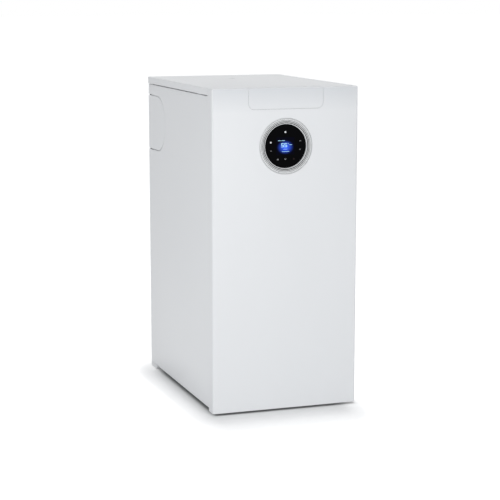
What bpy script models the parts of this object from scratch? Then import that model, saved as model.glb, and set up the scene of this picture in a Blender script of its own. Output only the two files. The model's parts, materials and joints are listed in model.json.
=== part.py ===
# Floor standing gas boiler
# Metres, +Z up, +X to the right, the front faces -Y.
# The origin is at the centre of the casing's footprint, on the floor.

import math

import bmesh
import bpy
from mathutils import Matrix, Vector

# Overall size
WIDTH = 0.400
DEPTH = 0.600
HEIGHT = 0.850

# Shared values
SHEET = 0.0012  # casing sheet
SEAT = 0.0003  # gap between pieces that touch
OVERCUT = 0.004  # how far a cutter runs past what it cuts
LAP = 0.0005  # how deep joined shapes sink into each other
FLANGE = 0.015  # folded edge of a side panel
SMALL = 12  # sides of a small round piece
ROUND = 16  # sides of a middling round piece
FINE = 28  # sides of a large round piece
HEX = 6  # sides of a nut
BEVEL_PROFILE_SHARE = 0.5  # 0.5 rounds a bevel as an arc
FACING_SHARE = 0.9  # how squarely a face must look a way to be taken as facing it

# Casing
SIDE_STEP = 0.0025  # side panels sit in behind the lid and front panel
SIDE_FLOOR_GAP = 0.013
FRONT_FLOOR_GAP = 0.006
FRONT_RETURN = 0.034
FRONT_POCKET = 0.015  # front face to the side panels' front flange
CORNER_RADIUS = 0.006
ARRIS_RADIUS = 0.0015
LID_SKIRT = 0.0185
LID_LINE = 0.002
LID_SEAM = 0.0006
LID_LIP = 0.008
LID_LIP_INSET = 0.006
STUD_RADIUS = 0.004
STUD_INSET = 0.010
STUD_REACH = 0.005
STUD_LOW_Z = 0.080
STUD_TOP_DROP = 0.050  # top of the casing to the upper studs

# Flap over the service recess
FLAP_HALF_WIDTH = 0.101
FLAP_HEIGHT = 0.0545
FLAP_CORNER = 0.0145
FLAP_GAP = 0.001
FLAP_ROD_BACK = 0.0255  # front face to the hinge line
FLAP_ROD_RADIUS = 0.0012
FLAP_EYE_RADIUS = 0.0026
FLAP_EDGE_BACK = 0.001  # leaf edge to the hinge line
FLAP_STRIP_BACK = 0.003  # hinge line to the fixed strip
FLAP_EYE_X = 0.070
FLAP_EYE_WIDTH = 0.012
EAR_EYE_WIDTH = 0.006
EAR_NOTCH_RADIUS = 0.0057  # lets the leaf swing over the ears

# Flue covers in the side panels
FLUE_DROP = 0.128  # top of the casing to the flue's axis
FLUE_BACK = 0.091  # rear face to the flue's axis
COVER_RADIUS = 0.076
COVER_GAP = 0.0008
COVER_LAP = 0.008
COVER_NOSE_STEPS = 12

# Base
TRAY_FLOOR = 0.030
TRAY_WALL = 0.030
GLIDE_LENGTH = 0.055
GLIDE_WIDTH = 0.047
GLIDE_ROUND = 0.010
GLIDE_PAD_INSET = 0.005
FOOT_INSET = 0.050
FOOT_BACK = 0.060
FOOT_RADIUS = 0.020
FOOT_HEIGHT = 0.010
FOOT_STEM_RADIUS = 0.005
FOOT_STEM_LENGTH = 0.050
FOOT_NUT_RADIUS = 0.009
FOOT_NUT_HEIGHT = 0.009

# Cross rails under the lid
RAIL_WIDTH = 0.030
FRONT_RAIL_BACK = 0.100
REAR_RAIL_BACK = 0.038

# Display
DISPLAY_DROP = 0.151  # top of the casing to the display's centre
RING_RADIUS = 0.072
RING_GAP = 0.0006
RING_INNER_RADIUS = 0.057
RING_RIBS = 4
RING_GROOVE = 0.0010
RING_WALL = 0.0045
RING_SIDES = 36
DISPLAY_RECESS = 0.005
GLASS_THICKNESS = 0.003
BEZEL_FLOOR = 0.002
SCREEN_SIZE = 0.038
MODULE_RADIUS = 0.045
BOARD_THICKNESS = 0.0016

# Control box
BOX_FRONT = 0.0135  # front face of the casing to the box
BOX_SIDE_GAP = 0.022  # side of the casing to the box
BOX_DEPTH = 0.080
BOX_TOP_DROP = 0.064  # top of the casing to the box
BOX_HEIGHT = 0.174
BOX_WALL = 0.0025
BOX_EAR_HEIGHT = 0.080
BOX_EAR_THICKNESS = 0.003
BOARD_MARGIN = 0.020
STANDOFF_RADIUS = 0.004
STANDOFF_LENGTH = 0.030
COVER_VENTS = 7
VENT_WIDTH = 0.004
VENT_HEIGHT = 0.050
VENT_PITCH = 0.014

# Service recess and mains switch
RECESS_HALF_WIDTH = 0.096
RECESS_DEPTH = 0.0675
RECESS_HEIGHT = 0.0515
RECESS_WALL = 0.002
RECESS_SETBACK = 0.00425  # front face to the recess
SWITCH_X = -0.055
SWITCH_WIDTH = 0.026
SWITCH_HEIGHT = 0.034
SWITCH_DEPTH = 0.022
ROCKER_WIDTH = 0.018
ROCKER_HEIGHT = 0.026
ROCKER_THICKNESS = 0.010
ROCKER_TILT_DEG = 8

# Heat exchanger
EXCHANGER_Z = 0.425
EXCHANGER_RADIUS = 0.118
EXCHANGER_RIB = 0.006
EXCHANGER_RIBS = 4
EXCHANGER_LENGTH = 0.200
EXCHANGER_GAP = 0.029  # rear face to the flue riser
FIREBOX_RADIUS = 0.062
FIREBOX_LENGTH = 0.170
LUG_REACH = 0.034
LUG_THICKNESS = 0.012
LUG_LENGTH = 0.120
LUG_START_SHARE = 0.8  # of the exchanger's radius
RIB_LAND_SHARE = 1 / 3  # of a rib's pitch
SPIGOT_RADIUS = 0.038
BOSS_RADIUS = 0.020
PORT_X = 0.085
FLOW_BOSS_Z = 0.535
RETURN_BOSS_Z = 0.315

# Stands that carry the exchanger
STAND_WIDTH = 0.024
STAND_LENGTH = 0.160
STAND_SLOT_RADIUS = 0.045
STAND_SLOT_HEIGHT = 0.240
STAND_SLOT_STEPS = 10

# Burner and its door
GASKET_THICKNESS = 0.003
GASKET_INNER_RADIUS = 0.070
DOOR_RADIUS = 0.100
DOOR_THICKNESS = 0.008
COLLAR_RADIUS = 0.028
COLLAR_BORE = 0.020
COLLAR_LENGTH = 0.012
COLLAR_BORE_SIDES = 24
BURNER_RADIUS = 0.030
BURNER_LENGTH = 0.120
BURNER_FLANGE_RADIUS = 0.042
BURNER_FLANGE = 0.002
BURNER_WALL = 0.0015
ELECTRODE_X = 0.050
ELECTRODE_RADIUS = 0.0035
ELECTRODE_TIP_RADIUS = 0.0012
ELECTRODE_OUT = 0.025
ELECTRODE_IN = 0.020
ELECTRODE_TIP = 0.018

# Fan and mixer
MIX_RADIUS = 0.024
MIX_WALL = 0.002
MIX_BEND = 0.040
MIX_STRAIGHT = 0.0036
MIX_DROP = 0.0147
MIX_FLANGE = 0.004
FAN_MOUTH = 0.044
FAN_DEPTH = 0.044
FAN_SMALL_RADIUS = 0.054
FAN_LARGE_RADIUS = 0.075
FAN_THROAT = 0.080
FAN_WALL = 0.0025
FAN_EYE_RADIUS = 0.026
FAN_TONGUE_DEG = 62
SPIRAL_STEPS = 14
IMPELLER_RADIUS = 0.046
IMPELLER_DEPTH = 0.030
HUB_DEPTH_SHARE = 0.7  # of the impeller's depth
HUB_BORE_SHARE = 0.5
IMPELLER_PLATE = 0.002
IMPELLER_BLADES = 9
BLADE_INNER_RADIUS = 0.024
BLADE_THICKNESS = 0.0016
BLADE_SWEEP_DEG = 38
BLADE_STEPS = 2
HUB_RADIUS = 0.009
SHAFT_RADIUS = 0.003
MOTOR_RADIUS = 0.033
MOTOR_LENGTH = 0.034
MOTOR_FINS = 3
MOTOR_FIN_DEPTH = 0.003
VENTURI_LENGTH = 0.045
VENTURI_THROAT_RADIUS = 0.020
VENTURI_MOUTH_RADIUS = 0.030
VENTURI_WALL = 0.004
VENTURI_FLANGE_RADIUS = 0.036
VENTURI_PORT_REACH = 0.036
INTAKE_RADIUS = 0.028
INTAKE_BEND = 0.034
INTAKE_CLEARANCE = 0.112  # control box to the intake's mouth
INTAKE_WALL = 0.002

# Gas line
GAS_RADIUS = 0.011
GAS_WALL = 0.0012
FEED_RADIUS = 0.008
VALVE_X = 0.080
VALVE_WIDTH = 0.060
VALVE_DEPTH = 0.060
VALVE_DROP = 0.040  # axis of the feed pipe to the valve's underside
VALVE_RISE = 0.035
SOLENOID_RADIUS = 0.013
SOLENOID_HEIGHT = 0.030
SOLENOID_APART = 0.030
COCK_HEIGHT = 0.040
COCK_RADIUS = 0.016
COCK_BODY_SHARE = 0.85  # of its nuts' radius
COCK_NUT_SHARE = 0.25  # of its height
COCK_SPINDLE_RADIUS = 0.004
COCK_SPINDLE_DEPTH = 0.006
LEVER_LENGTH = 0.055
LEVER_WIDTH = 0.012
LEVER_THICKNESS = 0.003
LEVER_END_STEPS = 8
GAS_RUN_Z = 0.110
PIPE_BEND = 0.030

# Flue
FLUE_RADIUS = 0.040
AIR_RADIUS = 0.0625
FLUE_WALL = 0.0015
FLUE_THROAT = 0.0035
ELBOW_TAIL = 0.006
PIPE_SEAL = 0.0008  # round a pipe where it leaves the casing
COLLECTOR_HALF_WIDTH = 0.070
COLLECTOR_HEIGHT = 0.060
COLLECTOR_WALL = 0.003
COLLECTOR_CORNER = 0.020
COLLECTOR_MARGIN = 0.010
COLLECTOR_NECK = 0.016
SOCKET_HEIGHT = 0.030
SOCKET_WALL = 0.005
ADAPTOR_HEIGHT = 0.055
ADAPTOR_COLLAR = 0.030
ADAPTOR_WALL = 0.003
TEST_BOSS_LENGTH = 0.015
CAP_RADIUS = 0.007
CAP_LENGTH = 0.014
CAP_PLUG_RADIUS = 0.004

# Condensate
TRAP_RADIUS = 0.034
TRAP_FOOT_SHARE = 0.8  # of its radius
TRAP_LENGTH = 0.140
TRAP_NECK_RADIUS = 0.020
TRAP_Y = 0.095
DRAIN_SPIGOT_RADIUS = 0.012
DRAIN_SPIGOT_LENGTH = 0.012
HOSE_RADIUS = 0.011
HOSE_WALL = 0.002
HOSE_Z = 0.165
HOSE_EXIT_Z = 0.075

# Water pipes
WATER_RADIUS = 0.014
WATER_WALL = 0.0012
FLOW_RUN_Z = 0.590
RETURN_RUN_Z = 0.170
SENSOR_RADIUS = 0.006
SENSOR_LENGTH = 0.022
SENSOR_TIP = 0.012
SENSOR_NOSE_SHARE = 0.6  # of its radius
DRAIN_RADIUS = 0.0075
DRAIN_REACH = 0.075
DRAIN_COCK_LENGTH = 0.030
DRAIN_COCK_RADIUS = 0.012
SPINDLE_RADIUS = 0.004
SPINDLE_SQUARE = 0.006
SPINDLE_OUT = 0.010

# Cables
LOOM_RADIUS = 0.006
LOOM_STEPS = 12
LOOM_PULL_SHARE = 1 / 3  # of its drop
SUPPLY_RADIUS = 0.004
SUPPLY_INSET = 0.040
SUPPLY_Z = 0.600
GLAND_RADIUS = 0.010
GLAND_LENGTH = 0.022
GLAND_FLANGE_SHARE = 1.3  # of its radius
GLAND_NOSE_SHARE = 0.8
GLAND_FLANGE_LENGTH_SHARE = 1 / 3
PLUG_RADIUS = 0.008
PLUG_HEAD_RADIUS = 0.011
PLUG_Y = 0.133

# Places worked out from the sizes
half_width = WIDTH / 2
stud_high_z = HEIGHT - STUD_TOP_DROP
flue_axis_z = HEIGHT - FLUE_DROP
display_z = HEIGHT - DISPLAY_DROP
box_half_width = half_width - BOX_SIDE_GAP
box_top_z = HEIGHT - BOX_TOP_DROP
box_bottom_z = box_top_z - BOX_HEIGHT
intake_top_z = box_bottom_z - INTAKE_CLEARANCE
foot_x = half_width - FOOT_INSET
supply_x = half_width - SUPPLY_INSET
front_y = -DEPTH / 2
rear_y = DEPTH / 2
seam_y = front_y + FRONT_RETURN
side_x = half_width - SIDE_STEP
side_in_x = side_x - SHEET
side_front_y = front_y + FRONT_POCKET
side_top_z = HEIGHT - LID_SKIRT - LID_LINE
under_lid_z = HEIGHT - SHEET
under_side_z = side_top_z - SHEET
panel_rear_y = rear_y - SHEET - SEAT
panel_front_y = panel_rear_y - SHEET
panel_half_width = side_in_x - SHEET - SEAT - SEAT
tray_top_z = TRAY_FLOOR + SHEET
hinge_y = front_y + FLAP_ROD_BACK
hinge_z = HEIGHT - FLAP_EYE_RADIUS
cover_y = rear_y - FLUE_BACK
box_front_y = front_y + BOX_FRONT
box_rear_y = box_front_y + BOX_DEPTH
riser_y = rear_y - FLUE_BACK
exchanger_rear_y = riser_y - FLUE_RADIUS - EXCHANGER_GAP
exchanger_front_y = exchanger_rear_y - EXCHANGER_LENGTH
exchanger_mid_y = (exchanger_front_y + exchanger_rear_y) / 2
exchanger_low_z = EXCHANGER_Z - EXCHANGER_RADIUS - EXCHANGER_RIB
lug_low_z = EXCHANGER_Z - LUG_THICKNESS / 2
lug_x = EXCHANGER_RADIUS + LUG_REACH
gasket_y = exchanger_front_y - SEAT
door_rear_y = gasket_y - GASKET_THICKNESS - SEAT
door_front_y = door_rear_y - DOOR_THICKNESS
collar_y = door_front_y - COLLAR_LENGTH
fan_y = collar_y - SEAT - MIX_STRAIGHT - MIX_BEND
fan_top_z = EXCHANGER_Z - MIX_BEND - MIX_DROP - SEAT
fan_z = fan_top_z - FAN_THROAT
fan_x = FAN_MOUTH / 2 - FAN_LARGE_RADIUS
fan_front_y = fan_y - FAN_DEPTH / 2
fan_rear_y = fan_y + FAN_DEPTH / 2
venturi_rear_y = fan_front_y - SEAT
venturi_front_y = venturi_rear_y - VENTURI_LENGTH
venturi_mid_y = (venturi_rear_y + venturi_front_y) / 2
valve_left_x = VALVE_X - VALVE_WIDTH / 2
valve_low_z = fan_z - VALVE_DROP
valve_top_z = fan_z + VALVE_RISE
cock_top_z = valve_low_z - SEAT
flue_bend = AIR_RADIUS + FLUE_THROAT
elbow_z = flue_axis_z - flue_bend - ELBOW_TAIL
collector_top_z = exchanger_low_z - COLLECTOR_NECK
collector_low_z = collector_top_z - COLLECTOR_HEIGHT
collector_front_y = exchanger_mid_y - SPIGOT_RADIUS - COLLECTOR_WALL - COLLECTOR_MARGIN
collector_rear_y = riser_y + FLUE_RADIUS + SOCKET_WALL + COLLECTOR_MARGIN / 2
trap_top_z = collector_low_z - SEAT

# Start with an empty scene
for old in list(bpy.data.objects):
    bpy.data.objects.remove(old, do_unlink=True)

parts = bpy.data.collections.new("floor_standing_gas_boiler")
cutters = bpy.data.collections.new("cutters")
bpy.context.scene.collection.children.link(parts)
bpy.context.scene.collection.children.link(cutters)

# Which way a turned piece or a cylinder points
TURN = {
    "+Z": Matrix.Identity(4),
    "-Z": Matrix.Rotation(math.pi, 4, "X"),
    "+X": Matrix.Rotation(math.pi / 2, 4, "Y"),
    "-X": Matrix.Rotation(-math.pi / 2, 4, "Y"),
    "+Y": Matrix.Rotation(-math.pi / 2, 4, "X"),
    "-Y": Matrix.Rotation(math.pi / 2, 4, "X"),
}


def material(name, colour, roughness, metallic=0.0):
    made = bpy.data.materials.new(name)
    made.use_nodes = True
    shader = made.node_tree.nodes["Principled BSDF"]
    shader.inputs["Base Color"].default_value = (*colour, 1.0)
    shader.inputs["Roughness"].default_value = roughness
    shader.inputs["Metallic"].default_value = metallic
    return made


white_paint = material("white_paint", (0.86, 0.87, 0.88), 0.35)
white_plastic = material("white_plastic", (0.84, 0.85, 0.86), 0.45)
grey_plastic = material("grey_plastic", (0.20, 0.21, 0.22), 0.55)
black_plastic = material("black_plastic", (0.03, 0.03, 0.035), 0.5)
black_glass = material("black_glass", (0.01, 0.01, 0.015), 0.08)
galvanised = material("galvanised", (0.62, 0.64, 0.66), 0.42, 0.9)
cast_alloy = material("cast_alloy", (0.60, 0.61, 0.62), 0.55, 0.85)
steel = material("steel", (0.66, 0.67, 0.68), 0.3, 1.0)
brass = material("brass", (0.78, 0.60, 0.30), 0.3, 1.0)
copper = material("copper", (0.80, 0.44, 0.30), 0.32, 1.0)
rubber = material("rubber", (0.04, 0.04, 0.04), 0.8)
green_board = material("green_board", (0.03, 0.20, 0.10), 0.5)
ceramic = material("ceramic", (0.85, 0.82, 0.76), 0.4)
fibre = material("fibre", (0.80, 0.78, 0.72), 0.9)
yellow_paint = material("yellow_paint", (0.80, 0.62, 0.05), 0.4)


def new_object(name, mesh):
    made = bpy.data.objects.new(name, mesh)
    parts.objects.link(made)
    return made


def from_bmesh(name, bm):
    mesh = bpy.data.meshes.new(name)
    bm.to_mesh(mesh)
    bm.free()
    return new_object(name, mesh)


def cube_between(low, high):
    size = Vector(high) - Vector(low)
    middle = (Vector(high) + Vector(low)) / 2
    bm = bmesh.new()
    bmesh.ops.create_cube(bm, size=1, matrix=Matrix.Translation(middle) @ Matrix.Diagonal((*size, 1)))
    return bm


def block(name, low, high):
    return from_bmesh(name, cube_between(low, high))


def rod(name, start, direction, radius, length, sides=ROUND):
    # A cylinder that starts at a point and runs one way
    matrix = Matrix.Translation(start) @ TURN[direction] @ Matrix.Translation((0, 0, length / 2))
    bm = bmesh.new()
    bmesh.ops.create_cone(
        bm, cap_ends=True, segments=sides, radius1=radius, radius2=radius, depth=length, matrix=matrix
    )
    return from_bmesh(name, bm)


def turned(name, profile, start, direction, steps=ROUND, closed=False):
    # The profile holds (radius, height) pairs that run down the outer side
    bm = bmesh.new()
    points = [bm.verts.new((radius, 0, height)) for radius, height in profile]
    for first, second in zip(points, points[1:]):
        bm.edges.new((first, second))
    if closed:
        bm.edges.new((points[-1], points[0]))
    made = from_bmesh(name, bm)
    screw = made.modifiers.new("turn", "SCREW")
    screw.steps = steps
    screw.render_steps = steps
    screw.use_merge_vertices = True
    screw.merge_threshold = 0.00001
    made.matrix_world = Matrix.Translation(start) @ TURN[direction]
    return made


def curve_object(name, loops, dimensions, cyclic):
    curve = bpy.data.curves.new(name, "CURVE")
    curve.dimensions = dimensions
    for points in loops:
        spline = curve.splines.new("POLY")
        spline.points.add(len(points) - 1)
        for place, point in zip(spline.points, points):
            place.co = (*point, 1) if len(point) == 3 else (*point, 0, 1)
        spline.use_cyclic_u = cyclic
    return new_object(name, curve)


def as_mesh(curve_piece):
    # A curve takes no cuts, so it becomes a mesh with its caps welded on
    name = curve_piece.name
    bpy.context.view_layer.update()
    graph = bpy.context.evaluated_depsgraph_get()
    mesh = bpy.data.meshes.new_from_object(curve_piece.evaluated_get(graph))
    place = curve_piece.matrix_world.copy()
    bpy.data.objects.remove(curve_piece, do_unlink=True)
    bm = bmesh.new()
    bm.from_mesh(mesh)
    bmesh.ops.remove_doubles(bm, verts=bm.verts, dist=0.00001)
    bmesh.ops.recalc_face_normals(bm, faces=bm.faces)
    bm.to_mesh(mesh)
    bm.free()
    made = new_object(name, mesh)
    made.matrix_world = place
    return made


def tube(name, points, radius, sides_step=2):
    piece = curve_object(name, [points], "3D", False)
    piece.data.bevel_depth = radius
    piece.data.bevel_resolution = sides_step
    piece.data.use_fill_caps = True
    return as_mesh(piece)


def plate(name, outline, facing, low, high, holes=()):
    # A flat outline, extruded between two places along X, Y or Z
    piece = curve_object(name, [outline, *holes], "2D", True)
    piece.data.fill_mode = "BOTH"
    piece.data.extrude = (high - low) / 2
    middle = (high + low) / 2
    if facing == "Y":
        piece.matrix_world = Matrix.Translation((0, middle, 0)) @ Matrix.Rotation(math.pi / 2, 4, "X")
    elif facing == "X":
        stand = Matrix(((0, 0, 1, 0), (1, 0, 0, 0), (0, 1, 0, 0), (0, 0, 0, 1)))
        piece.matrix_world = Matrix.Translation((middle, 0, 0)) @ stand
    else:
        piece.matrix_world = Matrix.Translation((0, 0, middle))
    return as_mesh(piece)


def pan(name, low, high, open_side, wall=SHEET):
    # A folded sheet box with one side left open
    outward = TURN[open_side] @ Vector((0, 0, 1))
    bm = cube_between(low, high)
    bm.normal_update()
    gone = [face for face in bm.faces if face.normal.dot(outward) > FACING_SHARE]
    bmesh.ops.delete(bm, geom=gone, context="FACES")
    made = from_bmesh(name, bm)
    thicken(made, wall)
    return made


def thicken(piece, wall):
    solid = piece.modifiers.new("wall", "SOLIDIFY")
    solid.thickness = wall
    solid.offset = -1
    solid.use_even_offset = True


def boolean(piece, operation, others):
    for other in others:
        cut = piece.modifiers.new(operation.lower(), "BOOLEAN")
        cut.operation = operation
        cut.object = other
        parts.objects.unlink(other)
        cutters.objects.link(other)
        other.hide_render = True
        other.display_type = "WIRE"
    return piece


def cut(piece, *others):
    return boolean(piece, "DIFFERENCE", others)


def join(piece, *others):
    return boolean(piece, "UNION", others)


def keep_inside(piece, other):
    return boolean(piece, "INTERSECT", [other])


def set_origin(piece, point):
    # Moves the origin without moving the shape
    place = Matrix.Translation(point)
    piece.data.transform(place.inverted() @ piece.matrix_world)
    piece.matrix_world = place
    return piece


def finish(piece, look):
    piece.data.materials.clear()
    piece.data.materials.append(look)
    piece.data.shade_smooth()
    piece.data.set_sharp_from_angle(angle=math.radians(35))
    return piece


def rounded(corners, steps=3):
    # An outline from (x, y, radius) corners, each with an arc
    outline = []
    for number, corner in enumerate(corners):
        here = Vector(corner[:2])
        radius = corner[2]
        if radius == 0:
            outline.append(tuple(here))
            continue
        before = (Vector(corners[number - 1][:2]) - here).normalized()
        after = (Vector(corners[(number + 1) % len(corners)][:2]) - here).normalized()
        half_angle = before.angle(after) / 2
        reach = radius / math.tan(half_angle)
        centre = here + (before + after).normalized() * (radius / math.sin(half_angle))
        start = here + before * reach - centre
        end = here + after * reach - centre
        for step in range(steps + 1):
            spoke = start.lerp(end, step / steps).normalized() * radius
            outline.append(tuple(centre + spoke))
    return outline


def rectangle(low_x, low_y, high_x, high_y, radius=0):
    corners = [(low_x, low_y), (high_x, low_y), (high_x, high_y), (low_x, high_y)]
    return rounded([(*corner, radius) for corner in corners])


def route(points, bend, steps=4):
    # A path in space with each corner turned on an arc
    path = [Vector(points[0])]
    for before, here, after in zip(points, points[1:], points[2:]):
        corner = Vector(here)
        back = (Vector(before) - corner).normalized()
        ahead = (Vector(after) - corner).normalized()
        half_angle = back.angle(ahead) / 2
        reach = bend / math.tan(half_angle)
        centre = corner + (back + ahead).normalized() * (bend / math.sin(half_angle))
        start = corner + back * reach - centre
        end = corner + ahead * reach - centre
        turn = start.angle(end)
        for step in range(steps + 1):
            share = step / steps
            near = math.sin((1 - share) * turn) / math.sin(turn)
            far = math.sin(share * turn) / math.sin(turn)
            path.append(centre + start * near + end * far)
    path.append(Vector(points[-1]))
    return path


def lengthen(path, extra):
    # The same path, run past both of its ends
    first = path[0] + (path[0] - path[1]).normalized() * extra
    last = path[-1] + (path[-1] - path[-2]).normalized() * extra
    return [first, *path, last]


def pipe(name, points, bend, radius, wall, sides_step=2):
    path = route(points, bend)
    outer = tube(name, path, radius, sides_step)
    bore = tube(name + "_bore", lengthen(path, OVERCUT), radius - wall, sides_step)
    return cut(outer, bore)


def arc_points(centre, radius, start_deg, end_deg, steps):
    points = []
    for step in range(steps + 1):
        angle = math.radians(start_deg + (end_deg - start_deg) * step / steps)
        points.append((centre[0] + radius * math.cos(angle), centre[1] + radius * math.sin(angle)))
    return points


# Casing
def make_front_skin(name):
    # Full height folded front, with rounded uprights and a soft top arris
    low = Vector((-half_width, front_y, FRONT_FLOOR_GAP))
    high = Vector((half_width, seam_y, HEIGHT))
    bm = cube_between(low, high)
    middle = (low + high) / 2
    uprights = [
        edge
        for edge in bm.edges
        if all(vert.co.y < middle.y for vert in edge.verts) and edge.verts[0].co.x * edge.verts[1].co.x > 0
    ]
    bmesh.ops.bevel(bm, geom=uprights, offset=CORNER_RADIUS, segments=3, profile=BEVEL_PROFILE_SHARE, affect="EDGES")
    bm.normal_update()
    rims = []
    for edge in bm.edges:
        level = edge.verts[0].co.z - edge.verts[1].co.z
        at_rear = all(vert.co.y > seam_y - LAP for vert in edge.verts)
        if abs(level) < LAP and not at_rear and edge.calc_face_angle(0) > 1:
            rims.append(edge)
    bmesh.ops.bevel(bm, geom=rims, offset=ARRIS_RADIUS, segments=1, profile=BEVEL_PROFILE_SHARE, affect="EDGES")
    bm.normal_update()
    rear = [face for face in bm.faces if face.normal.y > FACING_SHARE]
    bmesh.ops.delete(bm, geom=rear, context="FACES")
    skin = from_bmesh(name, bm)
    thicken(skin, SHEET)
    return skin


def flap_zone(name, gap, rear):
    # The part of the front skin that the flap is cut from
    left = -FLAP_HALF_WIDTH - gap
    right = FLAP_HALF_WIDTH + gap
    low = HEIGHT - FLAP_HEIGHT - gap
    high = HEIGHT + OVERCUT
    corner = FLAP_CORNER + gap
    outline = rounded([(left, low, corner), (right, low, corner), (right, high, 0), (left, high, 0)])
    return plate(name, outline, "Y", front_y - OVERCUT, rear)


def make_front_panel():
    panel = make_front_skin("front_panel")
    studs = []
    for side in (-1, 1):
        for level in (STUD_LOW_Z, stud_high_z):
            start = (side * (half_width - STUD_INSET), front_y + SHEET - LAP, level)
            length = side_front_y + STUD_REACH - start[1]
            studs.append(rod("panel_stud", start, "+Y", STUD_RADIUS, length, SMALL))
    join(panel, *studs)
    aperture = rod(
        "display_aperture", (0, front_y - OVERCUT, display_z), "+Y",
        RING_RADIUS + RING_GAP, SHEET + OVERCUT + OVERCUT, FINE,
    )
    cut(panel, aperture, flap_zone("flap_opening", FLAP_GAP, hinge_y + FLAP_STRIP_BACK))
    for side in (-1, 1):
        outer = side * FLAP_HALF_WIDTH
        inner = outer - side * EAR_EYE_WIDTH
        low_x, high_x = sorted((inner, outer))
        nose = arc_points((hinge_y, hinge_z), FLAP_EYE_RADIUS, 90, 270, SMALL // 2)
        arm_rear = hinge_y + FLAP_STRIP_BACK + SHEET
        arm_end = [(arm_rear, hinge_z - FLAP_EYE_RADIUS), (arm_rear, under_lid_z + LAP)]
        ear = plate("hinge_ear", nose + arm_end, "X", low_x, high_x)
        bore = rod(
            "hinge_bore", (low_x - OVERCUT, hinge_y, hinge_z), "+X",
            FLAP_ROD_RADIUS + SEAT, high_x - low_x + 2 * OVERCUT, ROUND,
        )
        join(panel, cut(ear, bore))
    return finish(panel, white_paint)


def make_access_flap():
    # Cut from the same skin as the front panel, so that the two run on flush
    flap = make_front_skin("access_flap")
    keep_inside(flap, flap_zone("flap_shape", 0, hinge_y - FLAP_EDGE_BACK))
    eyes = []
    for side in (-1, 1):
        start_x = side * FLAP_EYE_X - FLAP_EYE_WIDTH / 2
        start = (start_x, hinge_y, hinge_z)
        eyes.append(rod("flap_eye", start, "+X", FLAP_EYE_RADIUS, FLAP_EYE_WIDTH, SMALL))
        arm_low = (start_x, hinge_y - 2 * FLAP_EYE_RADIUS, hinge_z - FLAP_EYE_RADIUS)
        arm_high = (start_x + FLAP_EYE_WIDTH, hinge_y, HEIGHT - SHEET / 2)
        eyes.append(block("flap_arm", arm_low, arm_high))
    join(flap, *eyes)
    notches = []
    for side in (-1, 1):
        outer = side * (FLAP_HALF_WIDTH + OVERCUT)
        inner = side * (FLAP_HALF_WIDTH - EAR_EYE_WIDTH - FLAP_GAP / 2)
        low_x, high_x = sorted((inner, outer))
        notches.append(
            rod("ear_notch", (low_x, hinge_y, hinge_z), "+X", EAR_NOTCH_RADIUS, high_x - low_x, SMALL)
        )
    bore = rod(
        "eye_bore", (-FLAP_HALF_WIDTH, hinge_y, hinge_z), "+X",
        FLAP_ROD_RADIUS + SEAT, 2 * FLAP_HALF_WIDTH, ROUND,
    )
    cut(flap, *notches, bore)
    return finish(set_origin(flap, (0, hinge_y, hinge_z)), white_paint)


def make_flap_hinge_rod():
    length = 2 * (FLAP_HALF_WIDTH - SEAT)
    start = (-length / 2, hinge_y, hinge_z)
    return finish(rod("flap_hinge_rod", start, "+X", FLAP_ROD_RADIUS, length, SMALL), steel)


def make_lid():
    low = Vector((-half_width, seam_y + LID_SEAM, HEIGHT - LID_SKIRT))
    high = Vector((half_width, rear_y, HEIGHT))
    middle = (low + high) / 2
    bm = cube_between(low, high)
    uprights = [
        edge
        for edge in bm.edges
        if all(vert.co.y > middle.y for vert in edge.verts) and edge.verts[0].co.x * edge.verts[1].co.x > 0
    ]
    bmesh.ops.bevel(bm, geom=uprights, offset=CORNER_RADIUS, segments=2, profile=BEVEL_PROFILE_SHARE, affect="EDGES")
    bm.normal_update()
    rims = []
    for edge in bm.edges:
        at_top = all(vert.co.z > HEIGHT - LAP for vert in edge.verts)
        at_front = all(vert.co.y < low.y + LAP for vert in edge.verts)
        if at_top and not at_front:
            rims.append(edge)
    bmesh.ops.bevel(bm, geom=rims, offset=ARRIS_RADIUS, segments=1, profile=BEVEL_PROFILE_SHARE, affect="EDGES")
    bm.normal_update()
    gone = [face for face in bm.faces if face.normal.z < -FACING_SHARE or face.normal.y < -FACING_SHARE]
    bmesh.ops.delete(bm, geom=gone, context="FACES")
    lid = from_bmesh("lid", bm)
    thicken(lid, SHEET)
    lip_low = (-half_width + LID_LIP_INSET, low.y, HEIGHT - LID_LIP)
    lip_high = (half_width - LID_LIP_INSET, low.y + SHEET, HEIGHT - SHEET / 2)
    join(lid, block("lid_lip", lip_low, lip_high))
    hole_start = (0, PLUG_Y, HEIGHT - SHEET - OVERCUT)
    hole = rod("plug_hole", hole_start, "+Z", PLUG_RADIUS, SHEET + 2 * OVERCUT, SMALL)
    return finish(cut(lid, hole), white_paint)


def make_lid_plug():
    head = PLUG_RADIUS - SEAT
    profile = [
        (0, HEIGHT),
        (head, HEIGHT),
        (head, under_lid_z - SEAT),
        (PLUG_HEAD_RADIUS, under_lid_z - SEAT),
        (PLUG_HEAD_RADIUS, under_lid_z - SEAT - SHEET),
        (0, under_lid_z - SEAT - SHEET),
    ]
    return finish(turned("lid_plug", profile, (0, PLUG_Y, 0), "+Z", SMALL), white_plastic)


def cover_outline(extra, rear, flip):
    # U shape: a half round nose to the front, straight edges to the rear
    radius = COVER_RADIUS + extra
    nose = arc_points((cover_y, flue_axis_z), radius, 270, 90, COVER_NOSE_STEPS)
    points = [(rear, flue_axis_z - radius), *nose, (rear, flue_axis_z + radius)]
    return points[::-1] if flip else points


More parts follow.
